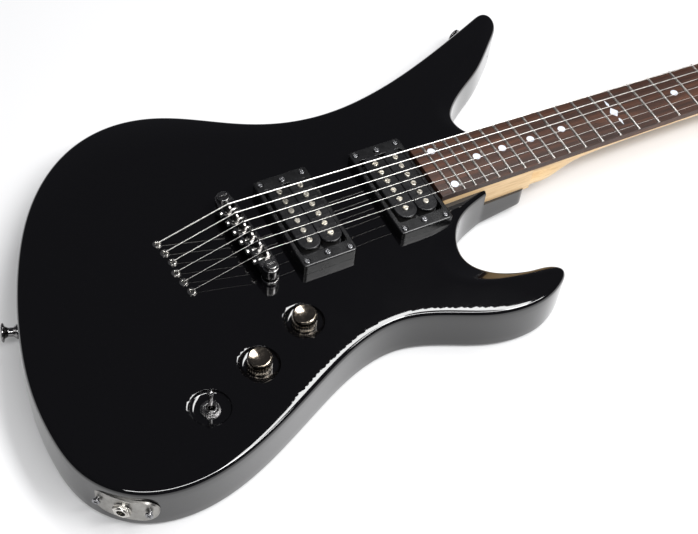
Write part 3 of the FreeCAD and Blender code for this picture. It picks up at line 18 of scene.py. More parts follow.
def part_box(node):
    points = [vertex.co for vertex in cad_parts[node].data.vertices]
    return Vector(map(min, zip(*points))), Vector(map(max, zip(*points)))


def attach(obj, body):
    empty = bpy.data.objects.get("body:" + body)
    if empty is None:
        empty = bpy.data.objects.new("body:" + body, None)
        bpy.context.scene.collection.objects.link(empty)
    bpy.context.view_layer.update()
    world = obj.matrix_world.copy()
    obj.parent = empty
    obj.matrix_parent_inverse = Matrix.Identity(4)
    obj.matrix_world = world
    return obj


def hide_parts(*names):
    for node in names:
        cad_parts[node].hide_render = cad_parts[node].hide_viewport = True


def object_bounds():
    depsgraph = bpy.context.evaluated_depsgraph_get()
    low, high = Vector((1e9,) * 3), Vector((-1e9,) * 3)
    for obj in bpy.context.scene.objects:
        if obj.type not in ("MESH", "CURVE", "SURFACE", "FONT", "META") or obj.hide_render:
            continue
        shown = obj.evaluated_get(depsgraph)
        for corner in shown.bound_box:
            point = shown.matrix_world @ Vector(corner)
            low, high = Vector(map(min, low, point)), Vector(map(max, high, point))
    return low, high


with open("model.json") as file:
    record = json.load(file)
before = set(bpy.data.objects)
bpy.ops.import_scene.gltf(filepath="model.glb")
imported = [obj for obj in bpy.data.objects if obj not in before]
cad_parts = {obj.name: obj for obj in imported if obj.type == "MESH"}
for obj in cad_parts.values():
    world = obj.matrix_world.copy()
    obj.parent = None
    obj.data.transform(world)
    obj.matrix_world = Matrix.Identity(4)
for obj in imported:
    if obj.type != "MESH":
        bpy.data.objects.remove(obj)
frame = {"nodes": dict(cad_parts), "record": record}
cad_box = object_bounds()
MM = 0.001

# ---------------------------------------------------------------- places read from the frame
body_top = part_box("body")[1].z / MM


def node_centre(name):
    low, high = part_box(name)
    return (low + high) / 2


# ---------------------------------------------------------------- smooth curves
def natural_spline(points, spacing=1.0, pieces_per_span=0):
    """A twice-smooth curve through the points, cut at a spacing or into equal pieces per span."""
    data = np.array(points, float)
    step = np.linalg.norm(np.diff(data[:, :2], axis=0), axis=1)
    count = len(data)
    system = np.zeros((count, count))
    right = np.zeros_like(data)
    system[0, 0] = system[-1, -1] = 1
    for k in range(1, count - 1):
        before, after = step[k - 1], step[k]
        system[k, k - 1:k + 2] = before, 2 * (before + after), after
        right[k] = 6 * ((data[k + 1] - data[k]) / after - (data[k] - data[k - 1]) / before)
    bend = np.linalg.solve(system, right)
    out = []
    for k in range(count - 1):
        span = step[k]
        pieces = pieces_per_span or max(2, int(round(span / spacing)))
        for t in np.arange(pieces) / pieces * span:
            a, b = span - t, t
            out.append(bend[k] * a ** 3 / (6 * span) + bend[k + 1] * b ** 3 / (6 * span)
                       + (data[k] / span - bend[k] * span / 6) * a
                       + (data[k + 1] / span - bend[k + 1] * span / 6) * b)
    out.append(data[-1])
    return np.array(out)


def loop_normals(loop):
    """Unit normals that point to the inside of a closed plan outline."""
    along = np.roll(loop, -1, 0) - np.roll(loop, 1, 0)
    along /= np.linalg.norm(along, axis=1)[:, None]
    normals = np.stack([along[:, 1], -along[:, 0]], 1)
    area = np.sum(loop[:, 0] * np.roll(loop[:, 1], -1) - np.roll(loop[:, 0], -1) * loop[:, 1])
    return normals if area < 0 else -normals


def smooth_loop(values, passes):
    for _ in range(passes):
        values = (np.roll(values, 1, 0) + 2 * values + np.roll(values, -1, 0)) / 4
    return values


def even_loop(loop, spacing):
    """The same closed outline with evenly spaced points."""
    closed = np.vstack([loop, loop[:1]])
    reach = np.concatenate([[0], np.cumsum(np.linalg.norm(np.diff(closed, axis=0), axis=1))])
    count = int(reach[-1] / spacing)
    at = np.arange(count) / count * reach[-1]
    return np.stack([np.interp(at, reach, closed[:, i]) for i in range(2)], 1)


# ---------------------------------------------------------------- the body's shape
# The outline, from the treble side of the neck round the tail to the bass side of the neck.
body_outline = [
    (192.5, -28.8), (163, -41), (148.2, -58.5), (146, -78.5), (161, -97.2), (185.5, -108.4),
    (203.8, -112.8), (208.2, -119.2), (198.8, -130.4), (170, -139.6), (139, -136), (105.8, -122.2),
    (72, -111.8), (38, -115.7), (-3, -132.4), (-51, -155.8), (-93, -171), (-129, -174.8),
    (-163, -165), (-188.7, -136.8), (-197.6, -98.6), (-197.6, -60.2), (-189.4, -13), (-170.1, 46.1),
    (-122.2, 124.7), (-90, 149.5), (-48, 160.6), (-13.8, 154.7), (16.3, 138.3), (45.3, 120.1),
    (76.9, 106.7), (112.4, 101.4), (153.5, 105.8), (201.2, 119.1), (250.4, 138), (288.2, 154.1),
    (299.6, 156.2), (305, 150.6), (292.6, 128.6), (262, 101.7), (223.8, 74.2), (210.4, 54.6),
    (212, 38.3), (218.8, 28.8)]

# Slopes: a point on the ridge, a point past the edge, and the drop there.
treble_scoop = [
    ((158, -38), (170, -50), 0), ((131, -50), (156, -62), 5), ((113, -72), (158, -74), 9),
    ((117, -92), (160, -82), 10), ((133, -105), (166, -90), 10.5), ((155, -112.5), (174, -94), 11),
    ((180, -117.5), (189, -98), 10), ((203, -121), (214, -103), 9), ((218, -124), (230, -108), 8)]
bass_scoop = [
    ((310, 164), (322, 152), 9), ((297, 150.5), (310, 137), 10), ((275.6, 131.5), (288, 114), 11),
    ((250.9, 117), (264, 95), 12), ((226.6, 99.3), (243, 79), 11), ((206, 82), (227, 66), 9),
    ((195, 64), (222, 54), 7), ((195, 49), (224, 42), 4), ((204, 37), (222, 34), 0)]
arm_slope = [
    ((-172, -30), (-198, -30), 0), ((-160, 12), (-188, 12), 2), ((-138, 52), (-174, 58), 4),
    ((-112, 84), (-148, 110), 6), ((-82, 106), (-102, 152), 7.5), ((-40, 116), (-44, 168), 8),
    ((5, 106), (24, 146), 7), ((45, 92), (58, 126), 5), ((80, 86), (85, 117), 3),
    ((122, 92), (122, 112), 0)]
belly_slope = [
    ((-90, 118), (-98, 165), 0), ((-45, 92), (-46, 172), 12), ((10, 74), (24, 152), 18),
    ((62, 68), (74, 124), 14), ((112, 84), (114, 116), 0)]

top_edge_radius = 4.2
back_edge_radius = 4.0
edge_steps = 8
edge_blend_reach = 1.6
scoop_ridge_share = 0.3
slope_reach = 1.6
outline_spacing = 1.5
surface_spacing = 2.6
row_pitch = 0.87
rim_clearance = 0.45
points_at_once = 4000
tiny = 1e-12

heel_level = 27.0
heel_corner = (181, -26.9)
heel_rise_x = 0.17
heel_rise_y = -0.09
heel_half_width = 60
horn_corner = (181, -119)
horn_bevel_direction = math.radians(33)
horn_bevel_slope = math.tan(math.radians(24))
horn_bevel_start = -5
no_bevel = -20


class Slope:
    """A carved slope between a ridge line and a line past the body's edge."""

    def __init__(self, stations, tangent):
        rows = [(r[0], r[1], o[0], o[1], drop) for r, o, drop in stations]
        dense = natural_spline(rows, pieces_per_span=24)
        self.ridge, self.outer = dense[:, 0:2], dense[:, 2:4]
        far = self.ridge + (self.outer - self.ridge) * slope_reach
        self.low = np.minimum(self.ridge.min(0), far.min(0))
        self.high = np.maximum(self.ridge.max(0), far.max(0))
        self.drop = np.clip(dense[:, 4], 0, None)
        self.tangent = tangent

    def profile(self, v):
        if self.tangent:
            return v * v
        ease = scoop_ridge_share
        straight = (v - ease / 2) / (1 - ease / 2)
        rounded = v * v / (2 * ease) / (1 - ease / 2)
        return np.where(v < ease, rounded, straight)

    def depth(self, points):
        """How far the slope takes the surface down at each plan point."""
        depth = np.zeros(len(points))
        near = np.flatnonzero(((points[:, :2] >= self.low) & (points[:, :2] <= self.high)).all(1))
        i = np.arange(len(self.ridge) - 1)
        ridge_step, outer_step = np.diff(self.ridge, axis=0), np.diff(self.outer, axis=0)
        drop_step = np.diff(self.drop)
        for start in range(0, len(near), points_at_once):
            chosen = near[start:start + points_at_once]
            part = points[chosen]
            across = self.outer - self.ridge
            gap = part[:, None, :] - self.ridge[None]
            side = gap[:, :, 0] * across[None, :, 1] - gap[:, :, 1] * across[None, :, 0]
            flips = side[:, :-1] * side[:, 1:] <= 0
            share = np.where(flips, side[:, :-1] / (side[:, :-1] - side[:, 1:] + tiny), 0)
            ridge = self.ridge[i][None] + ridge_step[None] * share[..., None]
            outer = self.outer[i][None] + outer_step[None] * share[..., None]
            drop = self.drop[i][None] + drop_step[None] * share
            reach = outer - ridge
            v = np.sum((part[:, None] - ridge) * reach, 2) / np.sum(reach * reach, 2)
            usable = flips & (v > 0) & (v < slope_reach)
            fall = np.where(usable, drop * self.profile(np.clip(v, 0, slope_reach)), 0)
            depth[chosen] = fall.max(1)
        return depth


top_slopes = [Slope(treble_scoop, False), Slope(bass_scoop, False), Slope(arm_slope, True)]
back_slopes = [Slope(belly_slope, True)]


def soft_floor(height, softness=1.2):
    """max(0, height) with a soft corner."""
    return softness * np.logaddexp(0, height / softness)


def top_height(points):
    depth = sum(slope.depth(points) for slope in top_slopes)
    return body_top - depth


def heel_rise(x, y):
    """How far the heel's back is chamfered away from the body's back plane."""
    return heel_rise_x * (x - heel_corner[0]) + heel_rise_y * (y - heel_corner[1])


def back_height(points):
    rise = sum(slope.depth(points) for slope in back_slopes)
    x, y = points[:, 0], points[:, 1]
    along_horn = ((x - horn_corner[0]) * math.cos(horn_bevel_direction)
                  - (y - horn_corner[1]) * math.sin(horn_bevel_direction))
    on_horn = (y < -85) & (x > 150)
    horn = np.where(on_horn, horn_bevel_start + horn_bevel_slope * along_horn, no_bevel)
    heel = np.where(np.abs(y) < heel_half_width, heel_rise(x, y), no_bevel)
    flat = np.full(len(x), float(no_bevel))
    return rise + soft_floor(horn) - soft_floor(flat) + soft_floor(heel)


def rim(loop, normals, height, radius, upward):
    """Rings that round the edge between the wall and a sloping surface, wall first."""
    reach = radius * edge_blend_reach
    edge = height(loop)
    inner = height(loop + normals * reach)
    slope = smooth_loop((inner - edge) / reach, 6)
    edge = smooth_loop(edge, 3)
    lean = slope * upward
    stretch = np.sqrt(1 + lean * lean)
    centre = edge * upward + lean * radius - radius * stretch
    end_angle = np.arctan2(1 / stretch, -lean / stretch)
    rings = []
    for k in range(edge_steps + 1):
        angle = math.pi + (end_angle - math.pi) * k / edge_steps
        inset = radius + radius * np.cos(angle)
        level = (centre + radius * np.sin(angle)) * upward
        flat = loop + normals * inset[:, None]
        rings.append(np.column_stack([flat, level]))
    return rings


def fill_surface(outer, height):
    """Triangles inside a loop, lifted to a height function, finer where the slopes are tight."""
    low, high = outer.min(0), outer.max(0)
    rows = []
    y = low[1]
    while y < high[1]:
        shift = surface_spacing / 2 if len(rows) % 2 else 0
        xs = np.arange(low[0] + shift, high[0], surface_spacing)
        rows.append(np.column_stack([xs, np.full(len(xs), y)]))
        y += surface_spacing * row_pitch
    inner = np.vstack(rows)
    inner = np.vstack([inner[~near_slopes(inner)], fine_points(low, high)])
    inner = inner[inside(inner, outer)]
    inner = inner[clear_of(inner, outer, surface_spacing * rim_clearance)]
    points = [Vector(p) for p in np.vstack([outer, inner])]
    count = len(outer)
    edges = [(k, (k + 1) % count) for k in range(count)]
    result = delaunay_2d_cdt(points, edges, [], 2, 1e-6)
    verts, faces = np.array([tuple(v) for v in result[0]]), result[2]
    centres = np.array([verts[list(face)].mean(0) for face in faces])
    faces = [face for face, ok in zip(faces, inside(centres, outer)) if ok]
    return np.column_stack([verts, height(verts)]), faces


def near_slopes(points):
    """Where the top is carved tightly and wants a finer mesh."""
    depth = top_slopes[0].depth(points) + top_slopes[1].depth(points)
    return depth > 0.01


def fine_points(low, high):
    spacing = surface_spacing / 2
    xs, ys = np.meshgrid(np.arange(low[0], high[0], spacing), np.arange(low[1], high[1], spacing))
    points = np.column_stack([xs.ravel(), ys.ravel()])
    return points[near_slopes(points)]


def inside(points, loop):
    """Which plan points are inside a closed loop."""
    order = np.argsort(points[:, 1])
    x, y = points[order, 0], points[order, 1]
    result = np.zeros(len(points), bool)
    for (x0, y0), (x1, y1) in zip(loop, np.roll(loop, -1, 0)):
        if y1 == y0:
            continue
        first = np.searchsorted(y, min(y0, y1), "left")
        last = np.searchsorted(y, max(y0, y1), "left")
        edge = (x1 - x0) * (y[first:last] - y0) / (y1 - y0) + x0
        result[first:last] ^= x[first:last] < edge
    found = np.zeros(len(points), bool)
    found[order] = result
    return found


def clear_of(points, loop, distance):
    """Which plan points keep that distance from every point of a loop."""
    tree = KDTree(len(loop))
    for k, (x, y) in enumerate(loop):
        tree.insert((x, y, 0), k)
    tree.balance()
    return np.array([tree.find((x, y, 0))[2] > distance for x, y in points])


def mesh_object(name, verts, faces):
    """A mesh from millimetre points."""
    mesh = bpy.data.meshes.new(name)
    mesh.from_pydata([tuple(v) for v in np.array(verts, float) * MM], [], [tuple(f) for f in faces])
    mesh.update()
    shape = bpy.data.objects.new(name, mesh)
    bpy.context.scene.collection.objects.link(shape)
    return shape


def outward_faces(shape):
    work = bmesh.new()
    work.from_mesh(shape.data)
    bmesh.ops.remove_doubles(work, verts=work.verts, dist=2e-6)
    bmesh.ops.dissolve_degenerate(work, edges=work.edges, dist=1e-7)
    bmesh.ops.recalc_face_normals(work, faces=work.faces)
    work.to_mesh(shape.data)
    work.free()


def smooth_by_angle(shape, degrees):
    shape.data.shade_smooth()
    shape.data.set_sharp_from_angle(angle=math.radians(degrees))


def rounded_corners(points, radii, steps=8):
    """A closed plan outline with its corners rounded."""
    out = []
    count = len(points)
    for k in range(count):
        here = np.array(points[k], float)
        before = np.array(points[k - 1], float) - here
        after = np.array(points[(k + 1) % count], float) - here
        before /= np.linalg.norm(before)
        after /= np.linalg.norm(after)
        radius = radii if np.isscalar(radii) else radii[k]
        turn = math.acos(float(np.clip(before @ after, -1, 1)))
        if radius <= 0 or turn > math.pi - 0.01:
            out.append(here)
            continue
        reach = radius / math.tan(turn / 2)
        middle = before + after
        centre = here + middle / np.linalg.norm(middle) * radius / math.sin(turn / 2)
        start, end = here + before * reach, here + after * reach
        a0 = math.atan2(*(start - centre)[::-1])
        a1 = math.atan2(*(end - centre)[::-1])
        sweep = (a1 - a0 + math.pi) % (2 * math.pi) - math.pi
        for t in np.linspace(0, 1, steps + 1):
            angle = a0 + sweep * t
            out.append(centre + radius * np.array([math.cos(angle), math.sin(angle)]))
    return np.array(out)


def rounded_solid(name, loop, top, back, top_radius, back_radius):
    """A closed solid between two height functions, its upper and lower edges rounded."""
    normals = loop_normals(loop)
    normals = smooth_loop(normals, 2)
    normals /= np.linalg.norm(normals, axis=1)[:, None]
    upper = rim(loop, normals, top, top_radius, 1)
    lower = rim(loop, normals, back, back_radius, -1)
    for rings, height in ((upper, top), (lower, back)):
        last = rings[-1]
        error = height(last[:, :2]) - last[:, 2]
        for k, row in enumerate(rings):
            row[:, 2] += error * (k / (len(rings) - 1)) ** 2
    wall = [upper[0] * (1 - t) + lower[0] * t for t in (0.2, 0.4, 0.6, 0.8)]
    stack = upper[::-1] + wall + lower
    count = len(loop)
    verts = np.vstack(stack)
    faces = []
    for r in range(len(stack) - 1):
        for k in range(count):
            n = (k + 1) % count
            faces.append((r * count + k, r * count + n, (r + 1) * count + n, (r + 1) * count + k))
    for ring_index, height in ((0, top), (len(stack) - 1, back)):
        plan = stack[ring_index][:, :2]
        cap, cap_faces = fill_surface(plan, height)
        match = {}
        start = len(verts)
        first = ring_index * count
        key = {(round(p[0], 4), round(p[1], 4)): first + k for k, p in enumerate(plan)}
        extra = []
        for k, p in enumerate(cap):
            found = key.get((round(p[0], 4), round(p[1], 4)))
            if found is None:
                match[k] = start + len(extra)
                extra.append(p)
            else:
                match[k] = found
        verts = np.vstack([verts, np.array(extra)])
        faces += [tuple(match[i] for i in face) for face in cap_faces]
    shape = mesh_object(name, verts, faces)
    outward_faces(shape)
    return shape


def prism(points, z0, z1):
    """Vertices and faces of a straight prism over a plan outline."""
    points = np.array(points, float)
    count = len(points)
    verts = [(x, y, z0) for x, y in points] + [(x, y, z1) for x, y in points]
    faces = [tuple(range(count))[::-1], tuple(range(count, 2 * count))]
    faces += [(k, (k + 1) % count, (k + 1) % count + count, k + count) for k in range(count)]
    return np.array(verts, float), faces


def round_plan(x, y, radius, segments=48):
    angles = np.arange(segments) / segments * 2 * math.pi
    return np.column_stack([x + radius * np.cos(angles), y + radius * np.sin(angles)])


def turned(profile, segments=64):
    """Vertices and faces of a profile of (radius, height) pairs turned about Z."""
    verts, faces, rows = [], [], []
    for radius, height in profile:
        if radius < 1e-6:
            rows.append([len(verts)] * segments)
            verts.append((0, 0, height))
        else:
            rows.append(list(range(len(verts), len(verts) + segments)))
            for k in range(segments):
                angle = 2 * math.pi * k / segments
                verts.append((radius * math.cos(angle), radius * math.sin(angle), height))
    for a, b in zip(rows, rows[1:]):
        for k in range(segments):
            n = (k + 1) % segments
            face = []
            for i in (a[k], a[n], b[n], b[k]):
                if i not in face:
                    face.append(i)
            if len(face) > 2:
                faces.append(tuple(face))
    return np.array(verts, float), faces


class Parts:
    """Several closed pieces gathered into one mesh."""

    def __init__(self):
        self.verts, self.faces, self.count = [], [], 0

    def add(self, piece, matrix=None):
        verts, faces = piece
        if matrix is not None:
            verts = np.array([tuple(matrix @ Vector(v)) for v in verts])
        self.verts.append(verts)
        self.faces += [tuple(i + self.count for i in face) for face in faces]
        self.count += len(verts)
        return self

    def build(self, name):
        shape = mesh_object(name, np.vstack(self.verts), self.faces)
        outward_faces(shape)
        return shape


def carve(shape, cutter):
    """Cut one mesh out of another; the cutter is removed afterwards."""
    step = shape.modifiers.new("carve", "BOOLEAN")
    step.operation = "DIFFERENCE"
    step.solver = "EXACT"
    step.object = cutter
    bpy.context.view_layer.update()
    carved = shape.evaluated_get(bpy.context.evaluated_depsgraph_get())
    result = bpy.data.meshes.new_from_object(carved)
    shape.modifiers.clear()
    shape.data = result
    bpy.data.objects.remove(cutter)


# ---------------------------------------------------------------- the body
scale_length = 647.7
neck_angle = math.radians(1.38)
neck_pivot = Vector((scale_length / 4, 0, body_top + 5.2))
on_neck = (Matrix.Translation(neck_pivot) @ Matrix.Rotation(neck_angle, 4, "Y")
           @ Matrix.Translation(Vector((-neck_pivot.x, 0, 0))))
board_end_x = 149.5
board_end_half_width = 26.9
nut_half_width = 21.3

heel_corners = [(234, 27.9), (238, 22), (235, -22), (230.5, -27.9)]
heel_corner_radii = [0, 3.5, 3, 3, 3.5, 0]
lip_radius = 3.5
lip_start = -4.2
lip_steps = 12
ledge_length = 70
ledge_overrun = 60
above_top = 4

pocket_end_x = 262
pocket_depth = 21.2
pocket_gap = 0.6
cavity_depth = 15.5
cavity_half_length = 20
cavity_half_width = 35.5
ear_half_length = 7.5
ear_half_width = 43

knob_places = {"volume": (3.0, -83.0), "tone": (-43.0, -104.0), "switch": (-90.0, -123.5)}
dish_depth = 3.0
dish_flat_radius = 11.0
dish_bowl_reach = 4.1
dish_bowl_rise = 2.55
dish_bowl_steps = 12
dish_lip_steps = 6
dish_lip_turn = math.radians(75)
post_hole_radius = 5.5
post_hole_depth = 12
ferrule_hole_radius = 2.6
ferrule_hole_depth = 5
back_ferrule_radius = 4.2
back_ferrule_depth = 9.0
cup_places = ((176, -19), (176, 19), (214, -19), (214, 19))
cup_radius = 7.0
cup_depth = 3.2
cover_corners = [(31, -68), (26, -113), (-46, -138), (-88, -156), (-139, -157), (-153, -126),
                 (-114, -97), (-64, -79), (-14, -55)]
cover_corner_radius = 9
cover_depth = 2.0
below_back = -1


def neck_half_width(x):
    share = (x - board_end_x) / (scale_length - board_end_x)
    return board_end_half_width + (nut_half_width - board_end_half_width) * share


def body_loop():
    """The whole plan outline, with the heel block under the neck."""
    curve = natural_spline(body_outline, outline_spacing)
    heel = rounded_corners([body_outline[-1], *heel_corners, body_outline[0]], heel_corner_radii)
    loop = even_loop(np.vstack([curve, heel[1:-1]]), outline_spacing)
    return smooth_loop(loop, 2)


def ledge_room():
    """What is open above the heel block, with a rounded lip on the body's end."""
    treble, bass = np.array(body_outline[0]), np.array(body_outline[-1])
    along = (bass - treble) / np.linalg.norm(bass - treble)
    outward = np.array([along[1], -along[0]])
    section = [(lip_start, body_top + above_top), (lip_start, body_top + 0.02)]
    for k in range(lip_steps + 1):
        angle = math.pi / 2 * (1 - k / lip_steps)
        section.append((lip_radius * math.cos(angle) - lip_radius,
                        body_top - lip_radius + lip_radius * math.sin(angle)))
    section += [(0, heel_level), (ledge_length, heel_level), (ledge_length, body_top + above_top)]
    count = len(section)
    verts = []
    for reach in (-ledge_overrun, np.linalg.norm(bass - treble) + ledge_overrun):
        verts += [(*(treble + along * reach + outward * s), z) for s, z in section]
    faces = [tuple(range(count)), tuple(range(count, 2 * count))[::-1]]
    faces += [(k, (k + 1) % count, (k + 1) % count + count, k + count) for k in range(count)]
    return np.array(verts, float), faces


def neck_pocket():
    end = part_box("fretboard")[0].x / MM - pocket_gap
    pocket = [(end, -neck_half_width(end)), (pocket_end_x, -neck_half_width(pocket_end_x)),
              (pocket_end_x, neck_half_width(pocket_end_x)), (end, neck_half_width(end))]
    return prism(rounded_corners(pocket, [2, 0, 0, 2]), -pocket_depth, 40)


def pickup_cavity(x):
    """A pickup's room, with an ear at each end for its height screws."""
    ear, half, wide, inner = ear_half_length, cavity_half_length, cavity_half_width, 35.0
    corners = [(x - ear, -ear_half_width), (x + ear, -ear_half_width), (x + ear, -inner),
               (x + half, -wide), (x + half, wide), (x + ear, inner), (x + ear, ear_half_width),
               (x - ear, ear_half_width), (x - ear, inner), (x - half, wide), (x - half, -wide),
               (x - ear, -inner)]
    return prism(corners, body_top - cavity_depth, body_top + 1)


def control_dish():
    """The recess round a control: a flat floor, a bowl and a softened rim."""
    dish = [(0, -dish_depth)]
    for k in range(dish_bowl_steps + 1):
        angle = math.pi / 2 * k / dish_bowl_steps
        dish.append((dish_flat_radius + dish_bowl_reach * math.sin(angle),
                     -dish_depth + dish_bowl_rise * (1 - math.cos(angle))))
    for k in range(1, dish_lip_steps + 1):
        angle = dish_lip_turn * k / dish_lip_steps
        dish.append((15.1 + 1.0 * (1 - math.cos(angle)), -0.45 + 0.62 * math.sin(angle)))
    dish += [(16.1, 1.5), (0, 1.5)]
    return turned(dish, 96)


def build_body():
    slab = rounded_solid("body_shell", body_loop(), top_height, back_height,
                         top_edge_radius, back_edge_radius)
    carve(slab, Parts().add(ledge_room()).build("heel_room"))
    cuts = Parts()
    cuts.add(neck_pocket(), on_neck)
    for ring in ("bridge_pickup_ring", "neck_pickup_ring"):
        cuts.add(pickup_cavity(node_centre(ring).x / MM))
    for x, y in knob_places.values():
        cuts.add(control_dish(), Matrix.Translation((x, y, body_top)))
    for side in (-1, 1):
        hole = round_plan(*post_place(side), post_hole_radius)
        cuts.add(prism(hole, body_top - post_hole_depth, body_top + 1))
    for k in range(6):
        hole = round_plan(*ferrule_place(k), ferrule_hole_radius, 24)
        cuts.add(prism(hole, body_top - ferrule_hole_depth, body_top + 1))
        hole = round_plan(*ferrule_place(k), back_ferrule_radius, 32)
        cuts.add(prism(hole, below_back, back_ferrule_depth))
    for x, y in cup_places:
        hole_top = cup_depth + max(0, heel_rise(x, y))
        cuts.add(prism(round_plan(x, y, cup_radius), below_back, hole_top))
    cover = rounded_corners(cover_corners, cover_corner_radius)
    cuts.add(prism(cover, below_back, cover_depth))
    carve(slab, cuts.build("cutters"))
    slab.name = "body_shell"
    return slab


def ferrule_place(k):
    y = 10.33 * (2.5 - k)
    setback = 3.6 if k > 2 else 0.0
    return -62.2 - 0.185 * y - setback, y


def post_place(side):
    turn, half_gap = math.radians(3.86), 37.1
    return -5.0 - side * half_gap * math.sin(turn), side * half_gap * math.cos(turn)


body_shell = build_body()
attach(body_shell, "instrument")
smooth_by_angle(body_shell, 34)
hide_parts("body")


# ---------------------------------------------------------------- materials
class Shader:
    """A small helper that adds and links nodes of one material."""

    def __init__(self, name):
        self.material = bpy.data.materials.new(name)
        self.material.use_nodes = True
        self.tree = self.material.node_tree
        self.surface = self.tree.nodes["Principled BSDF"]
        self.coords = self.tree.nodes.new("ShaderNodeTexCoord").outputs["Object"]

    def node(self, kind, inputs=None, **settings):
        made = self.tree.nodes.new("ShaderNode" + kind)
        for key, value in settings.items():
            setattr(made, key, value)
        for key, value in (inputs or {}).items():
            socket = made.inputs[key]
            if isinstance(value, bpy.types.NodeSocket):
                self.tree.links.new(value, socket)
            else:
                socket.default_value = value
        return made

    def link(self, source, target):
        self.tree.links.new(source, self.surface.inputs[target])

    def set(self, **values):
        for key, value in values.items():
            self.surface.inputs[key.replace("_", " ")].default_value = value
        return self

    def stretched(self, scale):
        return self.node("Mapping", {"Vector": self.coords, "Scale": scale}).outputs["Vector"]

    def noise(self, scale, detail=4.0, rough=0.55, coords=None, distortion=0.0):
        return self.node("TexNoise", {"Vector": coords or self.coords, "Scale": scale, "Detail": detail,
                                      "Roughness": rough, "Distortion": distortion}).outputs["Fac"]

    def ramp(self, factor, stops):
        made = self.node("ValToRGB", {"Fac": factor})
        table = made.color_ramp
        while len(table.elements) < len(stops):
            table.elements.new(0.5)
        for element, (place, colour) in zip(table.elements, stops):
            element.position = place
            element.color = (*colour, 1.0)
        return made.outputs["Color"]

    def span(self, factor, low, high, to_low, to_high):
        return self.node("MapRange", {"Value": factor, "From Min": low, "From Max": high,
                                      "To Min": to_low, "To Max": to_high}).outputs["Result"]

    def multiply(self, factor, a, b):
        made = self.node("Mix", None, data_type="RGBA", blend_type="MULTIPLY")
        made.inputs[0].default_value = factor
        self.tree.links.new(a, made.inputs[6])
        self.tree.links.new(b, made.inputs[7])
        return made.outputs[2]

    def bump(self, height, strength, distance, normal=None):
        inputs = {"Height": height, "Strength": strength, "Distance": distance}
        if normal is not None:
            inputs["Normal"] = normal
        return self.node("Bump", inputs).outputs["Normal"]

    def edge(self, radius):
        return self.node("Bevel", {"Radius": radius}, samples=6).outputs["Normal"]


def lacquer():
    s = Shader("black_lacquer")
    s.set(IOR=1.5, Coat_Weight=0.5, Coat_IOR=1.5, Coat_Roughness=0.02)
    waves = s.noise(38.0, 2.0, 0.5)
    peel = s.noise(900.0, 2.0, 0.5)
    haze = s.noise(14.0, 5.0, 0.6)
    specks = s.noise(2600.0, 2.0, 0.6)
    colour = s.ramp(specks, [(0.45, (0.0012, 0.0011, 0.0014)), (0.8, (0.0034, 0.0032, 0.0038))])
    s.link(colour, "Base Color")
    s.link(s.span(haze, 0.35, 0.7, 0.035, 0.07), "Roughness")
    soft = s.bump(waves, 0.03, 0.002)
    s.link(s.bump(peel, 0.012, 0.0002, soft), "Normal")
    return s.material


def metal(name, colour, rough, grain=None, bevel=0.00025, scale=420.0):
    """Plated metal: fine grain, small stains and bright rubbed edges."""
    s = Shader(name)
    s.set(Metallic=1.0)
    stain = s.noise(160.0, 5.0, 0.62)
    rub = 0.06
    dark = tuple(c * 0.72 for c in colour)
    s.link(s.ramp(stain, [(0.34, dark), (0.62, colour)]), "Base Color")
    coords = s.stretched(grain) if grain else s.coords
    fine = s.noise(scale, 3.0, 0.6, coords)
    s.link(s.span(fine, 0.3, 0.75, max(0.02, rough - rub), rough + rub), "Roughness")
    edge = s.edge(bevel)
    s.link(s.bump(fine, 0.05, 0.00008, edge), "Normal")
    return s.material


def plastic(name, colour, rough, grain=0.05, bevel=0.00025):
    """Moulded plastic with a fine grain and slightly uneven tone."""
    s = Shader(name)
    tone = s.noise(90.0, 4.0, 0.6)
    low = tuple(c * 0.75 for c in colour)
    s.link(s.ramp(tone, [(0.35, low), (0.65, colour)]), "Base Color")
    fine = s.noise(1800.0, 2.0, 0.6)
    s.link(s.span(tone, 0.3, 0.7, rough - 0.04, rough + 0.05), "Roughness")
    s.link(s.bump(fine, grain, 0.00006, s.edge(bevel)), "Normal")
    return s.material


def rosewood():
    """Streaky red-brown wood with open pores along the board."""
    s = Shader("rosewood")
    long_way = s.stretched((4.0, 90.0, 60.0))
    broad = s.noise(1.0, 6.0, 0.62, long_way, 1.2)
    streak = s.noise(1.0, 4.0, 0.65, s.stretched((14.0, 420.0, 300.0)), 0.5)
    pore = s.noise(1.0, 3.0, 0.7, s.stretched((150.0, 2600.0, 2600.0)))
    base = s.ramp(broad, [(0.25, (0.020, 0.0075, 0.004)), (0.48, (0.055, 0.020, 0.0095)),
                          (0.62, (0.10, 0.036, 0.016)), (0.8, (0.15, 0.062, 0.029))])
    dark = s.ramp(streak, [(0.38, (0.35, 0.3, 0.28)), (0.6, (1.0, 1.0, 1.0))])
    mixed = s.multiply(0.75, base, dark)
    holes = s.ramp(pore, [(0.35, (0.25, 0.2, 0.18)), (0.47, (1.0, 1.0, 1.0))])
    s.link(s.multiply(0.8, mixed, holes), "Base Color")
    s.link(s.span(pore, 0.3, 0.6, 0.6, 0.36), "Roughness")
    s.link(s.bump(pore, 0.35, 0.00012), "Normal")
    return s.material


